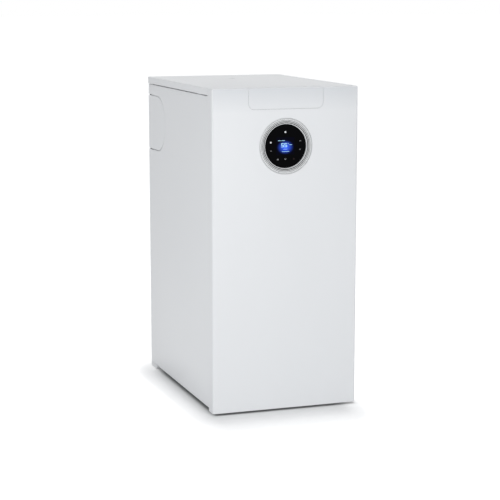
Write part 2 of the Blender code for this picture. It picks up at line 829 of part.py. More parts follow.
def make_side_panel(name, side):
    inner = side * (side_x - FLANGE)
    outer = side * side_x
    low_x, high_x = sorted((inner, outer))
    low = (low_x, side_front_y, SIDE_FLOOR_GAP)
    high = (high_x, rear_y, side_top_z)
    panel = pan(name, low, high, "-X" if side > 0 else "+X")
    slot = plate(
        "cover_slot", cover_outline(COVER_GAP, rear_y + OVERCUT, False), "X",
        low_x - OVERCUT, high_x + OVERCUT,
    )
    holes = []
    for level in (STUD_LOW_Z, stud_high_z):
        start = (side * (half_width - STUD_INSET), side_front_y - OVERCUT, level)
        holes.append(rod("stud_hole", start, "+Y", STUD_RADIUS + SEAT, SHEET + 2 * OVERCUT, SMALL))
    return finish(cut(panel, slot, *holes), white_paint)


def make_flue_cover(name, side):
    # Flush skin, a wider lip behind the side panel and a fold at the rear
    low_x, high_x = sorted((side * side_x, side * side_in_x))
    skin = plate(name, cover_outline(0, rear_y, False), "X", low_x, high_x)
    lip_out = side_in_x - SEAT
    low_x, high_x = sorted((side * lip_out, side * (lip_out - SHEET)))
    lip = plate("cover_lip", cover_outline(COVER_LAP, panel_front_y - SEAT, False), "X", low_x, high_x)
    low_x, high_x = sorted((side * (lip_out - SHEET / 2), side * (side_x - SHEET / 2)))
    web_outline = cover_outline(-COVER_LAP, panel_front_y - COVER_LAP, False)
    web = plate("cover_web", web_outline, "X", low_x, high_x)
    low_x, high_x = sorted((side * (side_x - FLANGE), side * (side_x - SHEET / 2)))
    fold_low = (low_x, rear_y - SHEET, flue_axis_z - COVER_RADIUS)
    fold_high = (high_x, rear_y, flue_axis_z + COVER_RADIUS)
    join(skin, web, lip, block("cover_fold", fold_low, fold_high))
    return finish(skin, white_paint)


def make_rear_panel():
    # Flat sheet behind the folds, pierced for the flue, pipes, drain and cable
    outline = rectangle(-panel_half_width, TRAY_FLOOR, panel_half_width, under_side_z - SEAT)
    panel = plate("rear_panel", outline, "Y", panel_front_y, panel_rear_y)
    round_holes = (
        (0, flue_axis_z, AIR_RADIUS, FINE),
        (PORT_X, FLOW_RUN_Z, WATER_RADIUS, ROUND),
        (-PORT_X, RETURN_RUN_Z, WATER_RADIUS, ROUND),
        (VALVE_X, GAS_RUN_Z, GAS_RADIUS, ROUND),
        (0, HOSE_EXIT_Z, HOSE_RADIUS, ROUND),
        (supply_x, SUPPLY_Z, GLAND_RADIUS, ROUND),
    )
    for x, z, radius, sides in round_holes:
        start = (x, panel_front_y - OVERCUT, z)
        cut(panel, rod("rear_hole", start, "+Y", radius + PIPE_SEAL, SHEET + 2 * OVERCUT, sides))
    return finish(panel, galvanised)


def make_rail(name, low_y):
    low = (-side_x + SHEET, low_y, side_top_z + SEAT)
    high = (side_x - SHEET, low_y + RAIL_WIDTH, under_lid_z - SEAT)
    return finish(pan(name, low, high, "-Z"), galvanised)


def make_base_tray():
    half = side_in_x - SEAT
    low = (-half, side_front_y + SHEET + SEAT, TRAY_FLOOR)
    high = (half, panel_front_y - SEAT, TRAY_FLOOR + TRAY_WALL)
    tray = pan("base_tray", low, high, "+Z")
    for side in (-1, 1):
        foot = (side * foot_x, front_y + FOOT_BACK, tray_top_z - LAP)
        join(tray, rod("foot_nut", foot, "+Z", FOOT_NUT_RADIUS, FOOT_NUT_HEIGHT, HEX))
        start = (foot[0], foot[1], TRAY_FLOOR - OVERCUT)
        length = FOOT_NUT_HEIGHT + SHEET + 2 * OVERCUT
        cut(tray, rod("foot_hole", start, "+Z", FOOT_STEM_RADIUS + SEAT, length, SMALL))
    return finish(tray, galvanised)


def make_glide(name, side):
    # A moulded runner with a rounded heel, flush with the side panel
    outer = side_x - SEAT
    inner = outer - GLIDE_WIDTH
    low_x, high_x = sorted((side * inner, side * outer))
    heel_y = rear_y - SEAT
    toe_y = rear_y - GLIDE_LENGTH
    sole_z = SIDE_FLOOR_GAP - SEAT
    outline = rounded(
        [(toe_y, 0, GLIDE_PAD_INSET), (heel_y, 0, GLIDE_ROUND), (heel_y, sole_z, 0), (toe_y, sole_z, 0)]
    )
    glide = plate(name, outline, "X", low_x, high_x)
    pad_outer = side_x - FLANGE - SEAT
    low_x, high_x = sorted((side * inner, side * pad_outer))
    pad_low = (low_x, toe_y + GLIDE_PAD_INSET, sole_z - LAP)
    pad_high = (high_x, panel_front_y - GLIDE_PAD_INSET, TRAY_FLOOR - SEAT)
    return finish(join(glide, block("glide_pad", pad_low, pad_high)), white_plastic)


def make_levelling_foot(name, side):
    edge = FOOT_HEIGHT / 2
    stem_top = TRAY_FLOOR + SHEET + FOOT_STEM_LENGTH / 2
    profile = [
        (0, stem_top),
        (FOOT_STEM_RADIUS, stem_top),
        (FOOT_STEM_RADIUS, FOOT_HEIGHT),
        (FOOT_STEM_RADIUS * 2, FOOT_HEIGHT),
        (FOOT_RADIUS, edge),
        (FOOT_RADIUS, 0),
        (0, 0),
    ]
    place = (side * foot_x, front_y + FOOT_BACK, 0)
    return finish(turned(name, profile, place, "+Z", SMALL), rubber)


# Display and controls
def make_display_bezel():
    # Dished ring with concentric ribs around the glass
    top = box_front_y - SEAT - front_y
    floor_top = top - DISPLAY_RECESS - GLASS_THICKNESS - SEAT
    floor_low = floor_top - BEZEL_FLOOR
    pitch = (RING_RADIUS - RING_INNER_RADIUS) / (RING_RIBS + 0.5)
    land = pitch / 2
    wall_in = RING_RADIUS - RING_WALL
    profile = [(0, floor_top), (RING_INNER_RADIUS, floor_top), (RING_INNER_RADIUS, top)]
    radius = RING_INNER_RADIUS
    for _ in range(RING_RIBS):
        profile.append((radius + land, top))
        profile.append((radius + land, top - RING_GROOVE))
        profile.append((radius + pitch, top - RING_GROOVE))
        profile.append((radius + pitch, top))
        radius += pitch
    profile += [(RING_RADIUS, top), (RING_RADIUS, 0), (wall_in, 0), (wall_in, floor_low), (0, floor_low)]
    bezel = turned("display_bezel", profile, (0, box_front_y - SEAT, display_z), "-Y", RING_SIDES)
    half = SCREEN_SIZE / 2 + SEAT
    window = block(
        "screen_window",
        (-half, front_y, display_z - half),
        (half, box_front_y, display_z + half),
    )
    return finish(cut(bezel, window), white_plastic)


def make_display_glass():
    start = (0, front_y + DISPLAY_RECESS, display_z)
    glass = rod("display_glass", start, "+Y", RING_INNER_RADIUS - SEAT, GLASS_THICKNESS, RING_SIDES)
    return finish(glass, black_glass)


def make_display_module():
    # Round touch board with the screen standing up from it
    floor_back_y = front_y + DISPLAY_RECESS + GLASS_THICKNESS + SEAT + BEZEL_FLOOR
    start = (0, floor_back_y + SEAT, display_z)
    board = rod("display_module", start, "+Y", MODULE_RADIUS, BOARD_THICKNESS, ROUND)
    half = SCREEN_SIZE / 2
    screen_low = (-half, front_y + DISPLAY_RECESS + GLASS_THICKNESS + SEAT, display_z - half)
    screen_high = (half, start[1] + LAP, display_z + half)
    return finish(join(board, block("screen", screen_low, screen_high)), green_board)


def make_control_box():
    low = (-box_half_width, box_front_y, box_bottom_z)
    high = (box_half_width, box_rear_y, box_top_z)
    box = pan("control_box", low, high, "+Y", BOX_WALL)
    middle_z = (box_bottom_z + box_top_z) / 2
    for side in (-1, 1):
        low_x, high_x = sorted((side * (box_half_width - BOX_WALL / 2), side * (side_in_x - SEAT)))
        ear_y = side_front_y + SHEET + SEAT
        ear_low = (low_x, ear_y, middle_z - BOX_EAR_HEIGHT / 2)
        ear_high = (high_x, ear_y + BOX_EAR_THICKNESS, middle_z + BOX_EAR_HEIGHT / 2)
        join(box, block("box_ear", ear_low, ear_high))
    for side in (-1, 1):
        for level in (box_bottom_z + 2 * BOARD_MARGIN, box_top_z - 2 * BOARD_MARGIN):
            start = (side * (box_half_width - 2 * BOARD_MARGIN), box_front_y + BOX_WALL - LAP, level)
            join(box, rod("standoff", start, "+Y", STANDOFF_RADIUS, STANDOFF_LENGTH, SMALL))
    return finish(box, grey_plastic)


def make_control_box_cover():
    low_y = box_rear_y + SEAT
    outline = rectangle(-box_half_width, box_bottom_z, box_half_width, box_top_z, BOX_WALL)
    middle_z = (box_bottom_z + box_top_z) / 2
    vents = []
    for number in range(COVER_VENTS):
        x = (number - (COVER_VENTS - 1) / 2) * VENT_PITCH
        low_z = middle_z - VENT_HEIGHT / 2
        vents.append(rectangle(x - VENT_WIDTH / 2, low_z, x + VENT_WIDTH / 2, low_z + VENT_HEIGHT))
    cover = plate("control_box_cover", outline, "Y", low_y, low_y + BOX_WALL, vents)
    return finish(cover, grey_plastic)


def make_control_board():
    board_y = box_front_y + BOX_WALL - LAP + STANDOFF_LENGTH + SEAT
    low = (-box_half_width + BOARD_MARGIN, board_y, box_bottom_z + BOARD_MARGIN)
    high = (box_half_width - BOARD_MARGIN, board_y + BOARD_THICKNESS, box_top_z - BOARD_MARGIN)
    board = block("control_board", low, high)
    # Relays and a transformer, placed as shares of the board
    component_shares = (
        (0.10, 0.20, 0.12, 0.25, 0.60),
        (0.30, 0.60, 0.08, 0.20, 0.45),
        (0.45, 0.60, 0.08, 0.20, 0.45),
        (0.60, 0.60, 0.08, 0.20, 0.45),
        (0.70, 0.15, 0.20, 0.30, 0.80),
    )
    room = box_rear_y - high[1]
    for x_share, z_share, wide_share, tall_share, deep_share in component_shares:
        x = low[0] + x_share * (high[0] - low[0])
        z = low[2] + z_share * (high[2] - low[2])
        wide = wide_share * (high[0] - low[0])
        tall = tall_share * (high[2] - low[2])
        far = (x + wide, high[1] + deep_share * room, z + tall)
        join(board, block("component", (x, high[1] - LAP, z), far))
    return finish(board, green_board)


def recess_floor_z():
    return box_top_z + SEAT


def switch_middle():
    # The rocker's pivot, in the rear wall of the recess
    y = front_y + RECESS_SETBACK + RECESS_DEPTH
    z = recess_floor_z() + RECESS_HEIGHT / 2
    return Vector((SWITCH_X, y, z))


def make_service_recess():
    # Tray behind the flap, open to the front and top
    middle = switch_middle()
    low = Vector((-RECESS_HALF_WIDTH, middle.y - RECESS_DEPTH, recess_floor_z()))
    high = Vector((RECESS_HALF_WIDTH, middle.y, recess_floor_z() + RECESS_HEIGHT))
    bm = cube_between(low, high)
    bm.normal_update()
    gone = [face for face in bm.faces if face.normal.z > FACING_SHARE or face.normal.y < -FACING_SHARE]
    bmesh.ops.delete(bm, geom=gone, context="FACES")
    recess = from_bmesh("service_recess", bm)
    thicken(recess, RECESS_WALL)
    window_low = (
        middle.x - ROCKER_WIDTH / 2 - SEAT, middle.y - 2 * RECESS_WALL, middle.z - ROCKER_HEIGHT / 2 - SEAT,
    )
    window_high = (
        middle.x + ROCKER_WIDTH / 2 + SEAT, middle.y + OVERCUT, middle.z + ROCKER_HEIGHT / 2 + SEAT,
    )
    return finish(cut(recess, block("switch_window", window_low, window_high)), grey_plastic)


def make_mains_switch_body():
    middle = switch_middle()
    low = (middle.x - SWITCH_WIDTH / 2, middle.y + SEAT, middle.z - SWITCH_HEIGHT / 2)
    high = (middle.x + SWITCH_WIDTH / 2, middle.y + SEAT + SWITCH_DEPTH, middle.z + SWITCH_HEIGHT / 2)
    body = block("mains_switch_body", low, high)
    room_low = (middle.x - ROCKER_WIDTH / 2 - SEAT, middle.y - OVERCUT, middle.z - ROCKER_HEIGHT / 2 - SEAT)
    room_high = (
        middle.x + ROCKER_WIDTH / 2 + SEAT, middle.y + ROCKER_THICKNESS, middle.z + ROCKER_HEIGHT / 2 + SEAT,
    )
    return finish(cut(body, block("rocker_room", room_low, room_high)), black_plastic)


def make_mains_switch_rocker():
    # Two faces that meet in a shallow valley; it rests tipped one way
    middle = switch_middle()
    half = ROCKER_HEIGHT / 2 * math.cos(math.radians(ROCKER_TILT_DEG))
    proud = RECESS_WALL / 2
    valley = proud - half * math.tan(math.radians(ROCKER_TILT_DEG))
    keel = ROCKER_THICKNESS / 2
    reach = half - SEAT
    rear = [(keel / 2, reach), (keel, 0), (keel / 2, -reach)]
    outline = [(-proud, -reach), (-valley, 0), (-proud, reach), *rear]
    piece = plate("mains_switch_rocker", outline[::-1], "X", -ROCKER_WIDTH / 2, ROCKER_WIDTH / 2)
    tip = Matrix.Rotation(math.radians(ROCKER_TILT_DEG), 4, "X")
    piece.matrix_world = Matrix.Translation(middle) @ tip @ piece.matrix_world
    return finish(piece, black_plastic)


# Heat exchanger and what carries it
def make_heat_exchanger():
    # Ribbed casting with a firebox, water bosses, side lugs and a flue spigot
    rim = EXCHANGER_RADIUS + EXCHANGER_RIB
    pitch = EXCHANGER_LENGTH / EXCHANGER_RIBS
    land = pitch * RIB_LAND_SHARE
    profile = [(0, EXCHANGER_LENGTH)]
    height = EXCHANGER_LENGTH
    for _ in range(EXCHANGER_RIBS):
        profile.append((rim, height))
        profile.append((rim, height - land))
        profile.append((EXCHANGER_RADIUS, height - land))
        profile.append((EXCHANGER_RADIUS, height - pitch + land / 2))
        height -= pitch
    profile += [(rim, land / 2), (rim, 0), (0, 0)]
    body = turned("heat_exchanger", profile, (0, exchanger_rear_y, EXCHANGER_Z), "-Y", FINE)
    for side in (-1, 1):
        low_x, high_x = sorted((side * EXCHANGER_RADIUS * LUG_START_SHARE, side * lug_x))
        lug_low = (low_x, exchanger_mid_y - LUG_LENGTH / 2, lug_low_z)
        lug_high = (high_x, exchanger_mid_y + LUG_LENGTH / 2, lug_low_z + LUG_THICKNESS)
        join(body, block("lug", lug_low, lug_high))
    flow_start = (PORT_X, exchanger_mid_y, EXCHANGER_Z)
    join(body, rod("flow_boss", flow_start, "+Z", BOSS_RADIUS, FLOW_BOSS_Z - EXCHANGER_Z, SMALL))
    return_start = (-PORT_X, exchanger_mid_y, EXCHANGER_Z)
    join(body, rod("return_boss", return_start, "-Z", BOSS_RADIUS, EXCHANGER_Z - RETURN_BOSS_Z, SMALL))
    spigot_length = EXCHANGER_Z - collector_top_z + COLLECTOR_WALL
    join(body, rod("spigot", (0, exchanger_mid_y, EXCHANGER_Z), "-Z", SPIGOT_RADIUS, spigot_length, ROUND))
    firebox = rod(
        "firebox", (0, exchanger_front_y - OVERCUT, EXCHANGER_Z), "+Y",
        FIREBOX_RADIUS, FIREBOX_LENGTH + OVERCUT, ROUND,
    )
    way_out = rod(
        "gas_way", (0, exchanger_mid_y, EXCHANGER_Z), "-Z",
        SPIGOT_RADIUS - COLLECTOR_WALL, spigot_length + OVERCUT, ROUND,
    )
    return finish(cut(body, firebox, way_out), cast_alloy)


def make_stand(name, side):
    # Folded upright that carries one row of lugs
    outer = lug_x + SHEET
    low_x, high_x = sorted((side * (outer - STAND_WIDTH), side * outer))
    low = (low_x, exchanger_mid_y - STAND_LENGTH / 2, tray_top_z + SEAT)
    high = (high_x, exchanger_mid_y + STAND_LENGTH / 2, lug_low_z - SEAT)
    stand = pan(name, low, high, "-X" if side > 0 else "+X")
    middle_z = (low[2] + high[2]) / 2
    half = STAND_SLOT_HEIGHT / 2 - STAND_SLOT_RADIUS
    upper = arc_points((exchanger_mid_y, middle_z + half), STAND_SLOT_RADIUS, 0, 180, STAND_SLOT_STEPS)
    lower = arc_points((exchanger_mid_y, middle_z - half), STAND_SLOT_RADIUS, 180, 360, STAND_SLOT_STEPS)
    slot = plate("stand_slot", upper + lower, "X", low_x - OVERCUT, high_x + OVERCUT)
    return finish(cut(stand, slot), galvanised)


def make_door_gasket():
    inner = GASKET_INNER_RADIUS
    profile = [
        (DOOR_RADIUS, GASKET_THICKNESS), (DOOR_RADIUS, 0), (inner, 0), (inner, GASKET_THICKNESS),
    ]
    place = (0, gasket_y, EXCHANGER_Z)
    return finish(turned("door_gasket", profile, place, "-Y", ROUND, closed=True), fibre)


def make_burner_door():
    profile = [
        (0, DOOR_THICKNESS + COLLAR_LENGTH),
        (COLLAR_RADIUS, DOOR_THICKNESS + COLLAR_LENGTH),
        (COLLAR_RADIUS, DOOR_THICKNESS),
        (DOOR_RADIUS - DOOR_THICKNESS / 2, DOOR_THICKNESS),
        (DOOR_RADIUS, DOOR_THICKNESS / 2),
        (DOOR_RADIUS, 0),
        (0, 0),
    ]
    door = turned("burner_door", profile, (0, door_rear_y, EXCHANGER_Z), "-Y", FINE)
    bore = rod(
        "door_bore", (0, door_rear_y + OVERCUT, EXCHANGER_Z), "-Y",
        COLLAR_BORE, DOOR_THICKNESS + COLLAR_LENGTH + 2 * OVERCUT, COLLAR_BORE_SIDES,
    )
    start = (ELECTRODE_X, door_rear_y + OVERCUT, EXCHANGER_Z)
    hole = rod("electrode_hole", start, "-Y", ELECTRODE_RADIUS + SEAT, DOOR_THICKNESS + 2 * OVERCUT, SMALL)
    return finish(cut(door, bore, hole), cast_alloy)


def make_burner():
    # Flanged tube, closed at its far end
    inner = BURNER_RADIUS - BURNER_WALL
    end = -BURNER_LENGTH
    profile = [
        (inner, 0), (inner, end + BURNER_WALL), (0, end + BURNER_WALL), (0, end), (BURNER_RADIUS, end),
        (BURNER_RADIUS, -BURNER_FLANGE), (BURNER_FLANGE_RADIUS, -BURNER_FLANGE), (BURNER_FLANGE_RADIUS, 0),
    ]
    place = (0, door_rear_y + SEAT, EXCHANGER_Z)
    return finish(turned("burner", profile[::-1], place, "-Y", ROUND, closed=True), steel)


def make_ignition_electrode():
    front = door_front_y - ELECTRODE_OUT
    length = ELECTRODE_OUT + DOOR_THICKNESS + ELECTRODE_IN
    profile = [
        (0, length + ELECTRODE_TIP),
        (ELECTRODE_TIP_RADIUS, length + ELECTRODE_TIP),
        (ELECTRODE_TIP_RADIUS, length),
        (ELECTRODE_RADIUS, length),
        (ELECTRODE_RADIUS, 0),
        (0, 0),
    ]
    electrode = turned("ignition_electrode", profile, (ELECTRODE_X, front, EXCHANGER_Z), "+Y", SMALL)
    return finish(electrode, ceramic)


# Fan, mixer and air intake
def make_mixing_bend():
    top = (0, collar_y - SEAT, EXCHANGER_Z)
    corner = (0, fan_y, EXCHANGER_Z)
    end = (0, fan_y, fan_top_z + SEAT)
    path = route([top, corner, end], MIX_BEND)
    bend = tube("mixing_bend", path, MIX_RADIUS, 2)
    join(bend, rod("door_flange", top, "-Y", COLLAR_RADIUS + MIX_FLANGE, MIX_FLANGE / 2, ROUND))
    half = FAN_MOUTH / 2 + MIX_FLANGE
    low = (-half, fan_y - half, end[2])
    high = (half, fan_y + half, end[2] + MIX_FLANGE)
    join(bend, block("fan_flange", low, high))
    bore = tube("bend_bore", lengthen(path, OVERCUT), MIX_RADIUS - MIX_WALL, 2)
    return finish(cut(bend, bore), cast_alloy)


def volute_outline(wall, top_z):
    # Spiral that opens into an upright outlet; wall is taken off all round
    span = 360 - FAN_TONGUE_DEG
    spiral = []
    for step in range(SPIRAL_STEPS + 1):
        share = step / SPIRAL_STEPS
        angle = math.radians(FAN_TONGUE_DEG + span * share)
        radius = FAN_SMALL_RADIUS + (FAN_LARGE_RADIUS - FAN_SMALL_RADIUS) * share - wall
        spiral.append((fan_x + radius * math.cos(angle), fan_z + radius * math.sin(angle)))
    half = FAN_MOUTH / 2 - wall
    return [(half, top_z), (-half, top_z), *spiral]


def make_fan_housing():
    housing = plate("fan_housing", volute_outline(0, fan_top_z), "Y", fan_front_y, fan_rear_y)
    inside = plate(
        "volute_inside", volute_outline(FAN_WALL, fan_top_z + OVERCUT), "Y",
        fan_front_y + FAN_WALL, fan_rear_y - FAN_WALL,
    )
    eye_start = (fan_x, fan_front_y - OVERCUT, fan_z)
    eye = rod("suction_eye", eye_start, "+Y", FAN_EYE_RADIUS, FAN_DEPTH / 2, ROUND)
    shaft_start = (fan_x, fan_rear_y + OVERCUT, fan_z)
    shaft = rod("shaft_hole", shaft_start, "-Y", HUB_RADIUS, FAN_DEPTH / 2, ROUND)
    return finish(cut(housing, inside, eye, shaft), cast_alloy)


def blade_outline(turn):
    # Backward curved blade of even thickness, from hub side to rim
    sweep = math.radians(BLADE_SWEEP_DEG)
    steps = BLADE_STEPS
    front, back = [], []
    for step in range(steps + 1):
        share = step / steps
        radius = BLADE_INNER_RADIUS + (IMPELLER_RADIUS - LAP - BLADE_INNER_RADIUS) * share
        angle = turn - sweep * share
        half = BLADE_THICKNESS / 2 / radius
        front.append((radius * math.cos(angle + half), radius * math.sin(angle + half)))
        back.append((radius * math.cos(angle - half), radius * math.sin(angle - half)))
    return back + front[::-1]


def make_fan_impeller():
    rear = fan_rear_y - FAN_WALL - 2 * IMPELLER_PLATE
    front = rear - IMPELLER_DEPTH
    impeller = rod("fan_impeller", (fan_x, rear, fan_z), "-Y", IMPELLER_RADIUS, IMPELLER_PLATE, FINE)
    hub_length = IMPELLER_DEPTH * HUB_DEPTH_SHARE
    join(impeller, rod("hub", (fan_x, rear, fan_z), "-Y", HUB_RADIUS, hub_length, ROUND))
    for number in range(IMPELLER_BLADES):
        outline = blade_outline(2 * math.pi * number / IMPELLER_BLADES)
        placed = [(fan_x + x, fan_z + z) for x, z in outline]
        join(impeller, plate("blade", placed, "Y", front, rear - IMPELLER_PLATE / 2))
    shroud_in = BLADE_INNER_RADIUS + IMPELLER_PLATE
    shroud = [
        (IMPELLER_RADIUS, IMPELLER_PLATE), (IMPELLER_RADIUS, 0), (shroud_in, 0), (shroud_in, IMPELLER_PLATE),
    ]
    ring_start = (fan_x, front + IMPELLER_PLATE / 2, fan_z)
    join(impeller, turned("shroud", shroud, ring_start, "-Y", FINE, closed=True))
    bore = rod(
        "hub_bore", (fan_x, rear + OVERCUT, fan_z), "-Y",
        SHAFT_RADIUS + SEAT, IMPELLER_DEPTH * HUB_BORE_SHARE + OVERCUT, ROUND,
    )
    return finish(set_origin(cut(impeller, bore), (fan_x, fan_y, fan_z)), black_plastic)


def make_fan_shaft():
    hub_rear = fan_rear_y - FAN_WALL - 2 * IMPELLER_PLATE
    start = hub_rear - IMPELLER_DEPTH * HUB_BORE_SHARE + SEAT
    length = fan_rear_y + SEAT + MOTOR_LENGTH / 2 - start
    return finish(rod("fan_shaft", (fan_x, start, fan_z), "+Y", SHAFT_RADIUS, length, SMALL), steel)


def make_fan_motor():
    # Finned can with a shaft bearing bore at its front
    start_y = fan_rear_y + SEAT
    pitch = MOTOR_LENGTH / (MOTOR_FINS + 1)
    profile = [(0, MOTOR_LENGTH), (MOTOR_RADIUS, MOTOR_LENGTH)]
    height = MOTOR_LENGTH - pitch / 2
    for _ in range(MOTOR_FINS):
        profile.append((MOTOR_RADIUS, height))
        profile.append((MOTOR_RADIUS - MOTOR_FIN_DEPTH, height))
        profile.append((MOTOR_RADIUS - MOTOR_FIN_DEPTH, height - pitch / 2))
        profile.append((MOTOR_RADIUS, height - pitch / 2))
        height -= pitch
    profile += [(MOTOR_RADIUS, 0), (0, 0)]
    motor = turned("fan_motor", profile, (fan_x, start_y, fan_z), "+Y", ROUND)
    bore = rod(
        "bearing_bore", (fan_x, start_y - OVERCUT, fan_z), "+Y",
        SHAFT_RADIUS + SEAT, MOTOR_LENGTH / 2 + OVERCUT + SEAT, ROUND,
    )
    return finish(cut(motor, bore), black_plastic)


def make_venturi():
    # Waisted mixer with a gas port in its side
    wall = VENTURI_WALL
    half = VENTURI_LENGTH / 2
    profile = [
        (VENTURI_MOUTH_RADIUS, VENTURI_LENGTH),
        (VENTURI_MOUTH_RADIUS, VENTURI_LENGTH - wall),
        (VENTURI_THROAT_RADIUS, half),
        (FAN_EYE_RADIUS + wall, wall),
        (VENTURI_FLANGE_RADIUS, wall),
        (VENTURI_FLANGE_RADIUS, 0),
        (FAN_EYE_RADIUS, 0),
        (VENTURI_THROAT_RADIUS - wall, half),
        (VENTURI_MOUTH_RADIUS - wall, VENTURI_LENGTH),
    ]
    venturi = turned("venturi", profile, (fan_x, venturi_rear_y, fan_z), "-Y", ROUND, closed=True)
    start_x = fan_x + VENTURI_THROAT_RADIUS - wall / 2
    length = VENTURI_PORT_REACH - VENTURI_THROAT_RADIUS + wall / 2
    start = (start_x, venturi_mid_y, fan_z)
    join(venturi, rod("gas_port", start, "+X", FEED_RADIUS, length, SMALL))
    port = rod(
        "port_bore", (start_x - wall, venturi_mid_y, fan_z), "+X",
        FEED_RADIUS / 2, length + wall + OVERCUT, SMALL,
    )
    return finish(cut(venturi, port), cast_alloy)


def make_air_intake_pipe():
    start = (fan_x, venturi_front_y - SEAT, fan_z)
    run_y = start[1] - INTAKE_BEND - INTAKE_WALL
    points = [start, (fan_x, run_y, fan_z), (fan_x, run_y, intake_top_z)]
    return finish(pipe("air_intake_pipe", points, INTAKE_BEND, INTAKE_RADIUS, INTAKE_WALL), black_plastic)


# Gas line
def make_gas_feed_pipe():
    start_x = fan_x + VENTURI_PORT_REACH + SEAT
    length = valve_left_x - SEAT - start_x
    feed = rod("gas_feed_pipe", (start_x, venturi_mid_y, fan_z), "+X", FEED_RADIUS, length, SMALL)
    bore = rod(
        "feed_bore", (start_x - OVERCUT, venturi_mid_y, fan_z), "+X",
        FEED_RADIUS - GAS_WALL, length + 2 * OVERCUT, SMALL,
    )
    return finish(cut(feed, bore), steel)


def make_gas_valve():
    # Die cast body with two coils on top and a regulator screw in front
    low_y = venturi_mid_y - VALVE_DEPTH / 2
    outline = rounded(
        [
            (valve_left_x, valve_low_z, GAS_WALL),
            (valve_left_x + VALVE_WIDTH, valve_low_z, GAS_WALL),
            (valve_left_x + VALVE_WIDTH, valve_top_z, FEED_RADIUS),
            (valve_left_x, valve_top_z, FEED_RADIUS),
        ]
    )
    valve = plate("gas_valve", outline, "Y", low_y, low_y + VALVE_DEPTH)
    for side in (-1, 1):
        start = (VALVE_X + side * SOLENOID_APART / 2, venturi_mid_y, valve_top_z - LAP)
        join(valve, rod("coil", start, "+Z", SOLENOID_RADIUS, SOLENOID_HEIGHT + LAP, SMALL))
    screw_start = (VALVE_X, low_y + LAP, fan_z)
    join(valve, rod("regulator", screw_start, "-Y", FEED_RADIUS, FEED_RADIUS, HEX))
    return finish(valve, cast_alloy)


def make_gas_cock():
    # Hexagon ends on a round body, bored for its spindle
    nut = COCK_HEIGHT * COCK_NUT_SHARE
    low_z = cock_top_z - COCK_HEIGHT
    body_start = (VALVE_X, venturi_mid_y, low_z + nut / 2)
    cock = rod("gas_cock", body_start, "+Z", COCK_RADIUS * COCK_BODY_SHARE, COCK_HEIGHT - nut, ROUND)
    join(cock, rod("lower_nut", (VALVE_X, venturi_mid_y, low_z), "+Z", COCK_RADIUS, nut, HEX))
    join(cock, rod("upper_nut", (VALVE_X, venturi_mid_y, cock_top_z - nut), "+Z", COCK_RADIUS, nut, HEX))
    face_y = venturi_mid_y - COCK_RADIUS
    middle_z = low_z + COCK_HEIGHT / 2
    boss_start = (VALVE_X, venturi_mid_y, middle_z)
    join(cock, rod("spindle_boss", boss_start, "-Y", COCK_RADIUS / 2, COCK_RADIUS, SMALL))
    start = (VALVE_X, face_y - OVERCUT, middle_z)
    depth = COCK_SPINDLE_DEPTH + OVERCUT + SEAT
    hole = rod("spindle_hole", start, "+Y", COCK_SPINDLE_RADIUS + SEAT, depth, SMALL)
    return finish(cut(cock, hole), brass)


def make_gas_cock_lever():
    pivot = (VALVE_X, venturi_mid_y - COCK_RADIUS - SEAT, cock_top_z - COCK_HEIGHT / 2)
    half = LEVER_WIDTH / 2
    x, z = pivot[0], pivot[2]
    top = arc_points((x, z), half, 0, 180, LEVER_END_STEPS)
    tip = arc_points((x, z - LEVER_LENGTH + half), half, 180, 360, LEVER_END_STEPS)
    lever = plate("gas_cock_lever", top + tip, "Y", pivot[1] - LEVER_THICKNESS, pivot[1])
    start = (x, pivot[1] - LEVER_THICKNESS / 2, z)
    length = COCK_SPINDLE_DEPTH + LEVER_THICKNESS / 2
    join(lever, rod("lever_spindle", start, "+Y", COCK_SPINDLE_RADIUS, length, SMALL))
    return finish(set_origin(lever, pivot), yellow_paint)


def make_gas_inlet_pipe():
    top_z = cock_top_z - COCK_HEIGHT - SEAT
    corner = (VALVE_X, venturi_mid_y, GAS_RUN_Z)
    points = [(VALVE_X, venturi_mid_y, top_z), corner, (VALVE_X, rear_y, GAS_RUN_Z)]
    return finish(pipe("gas_inlet_pipe", points, PIPE_BEND, GAS_RADIUS, GAS_WALL), copper)


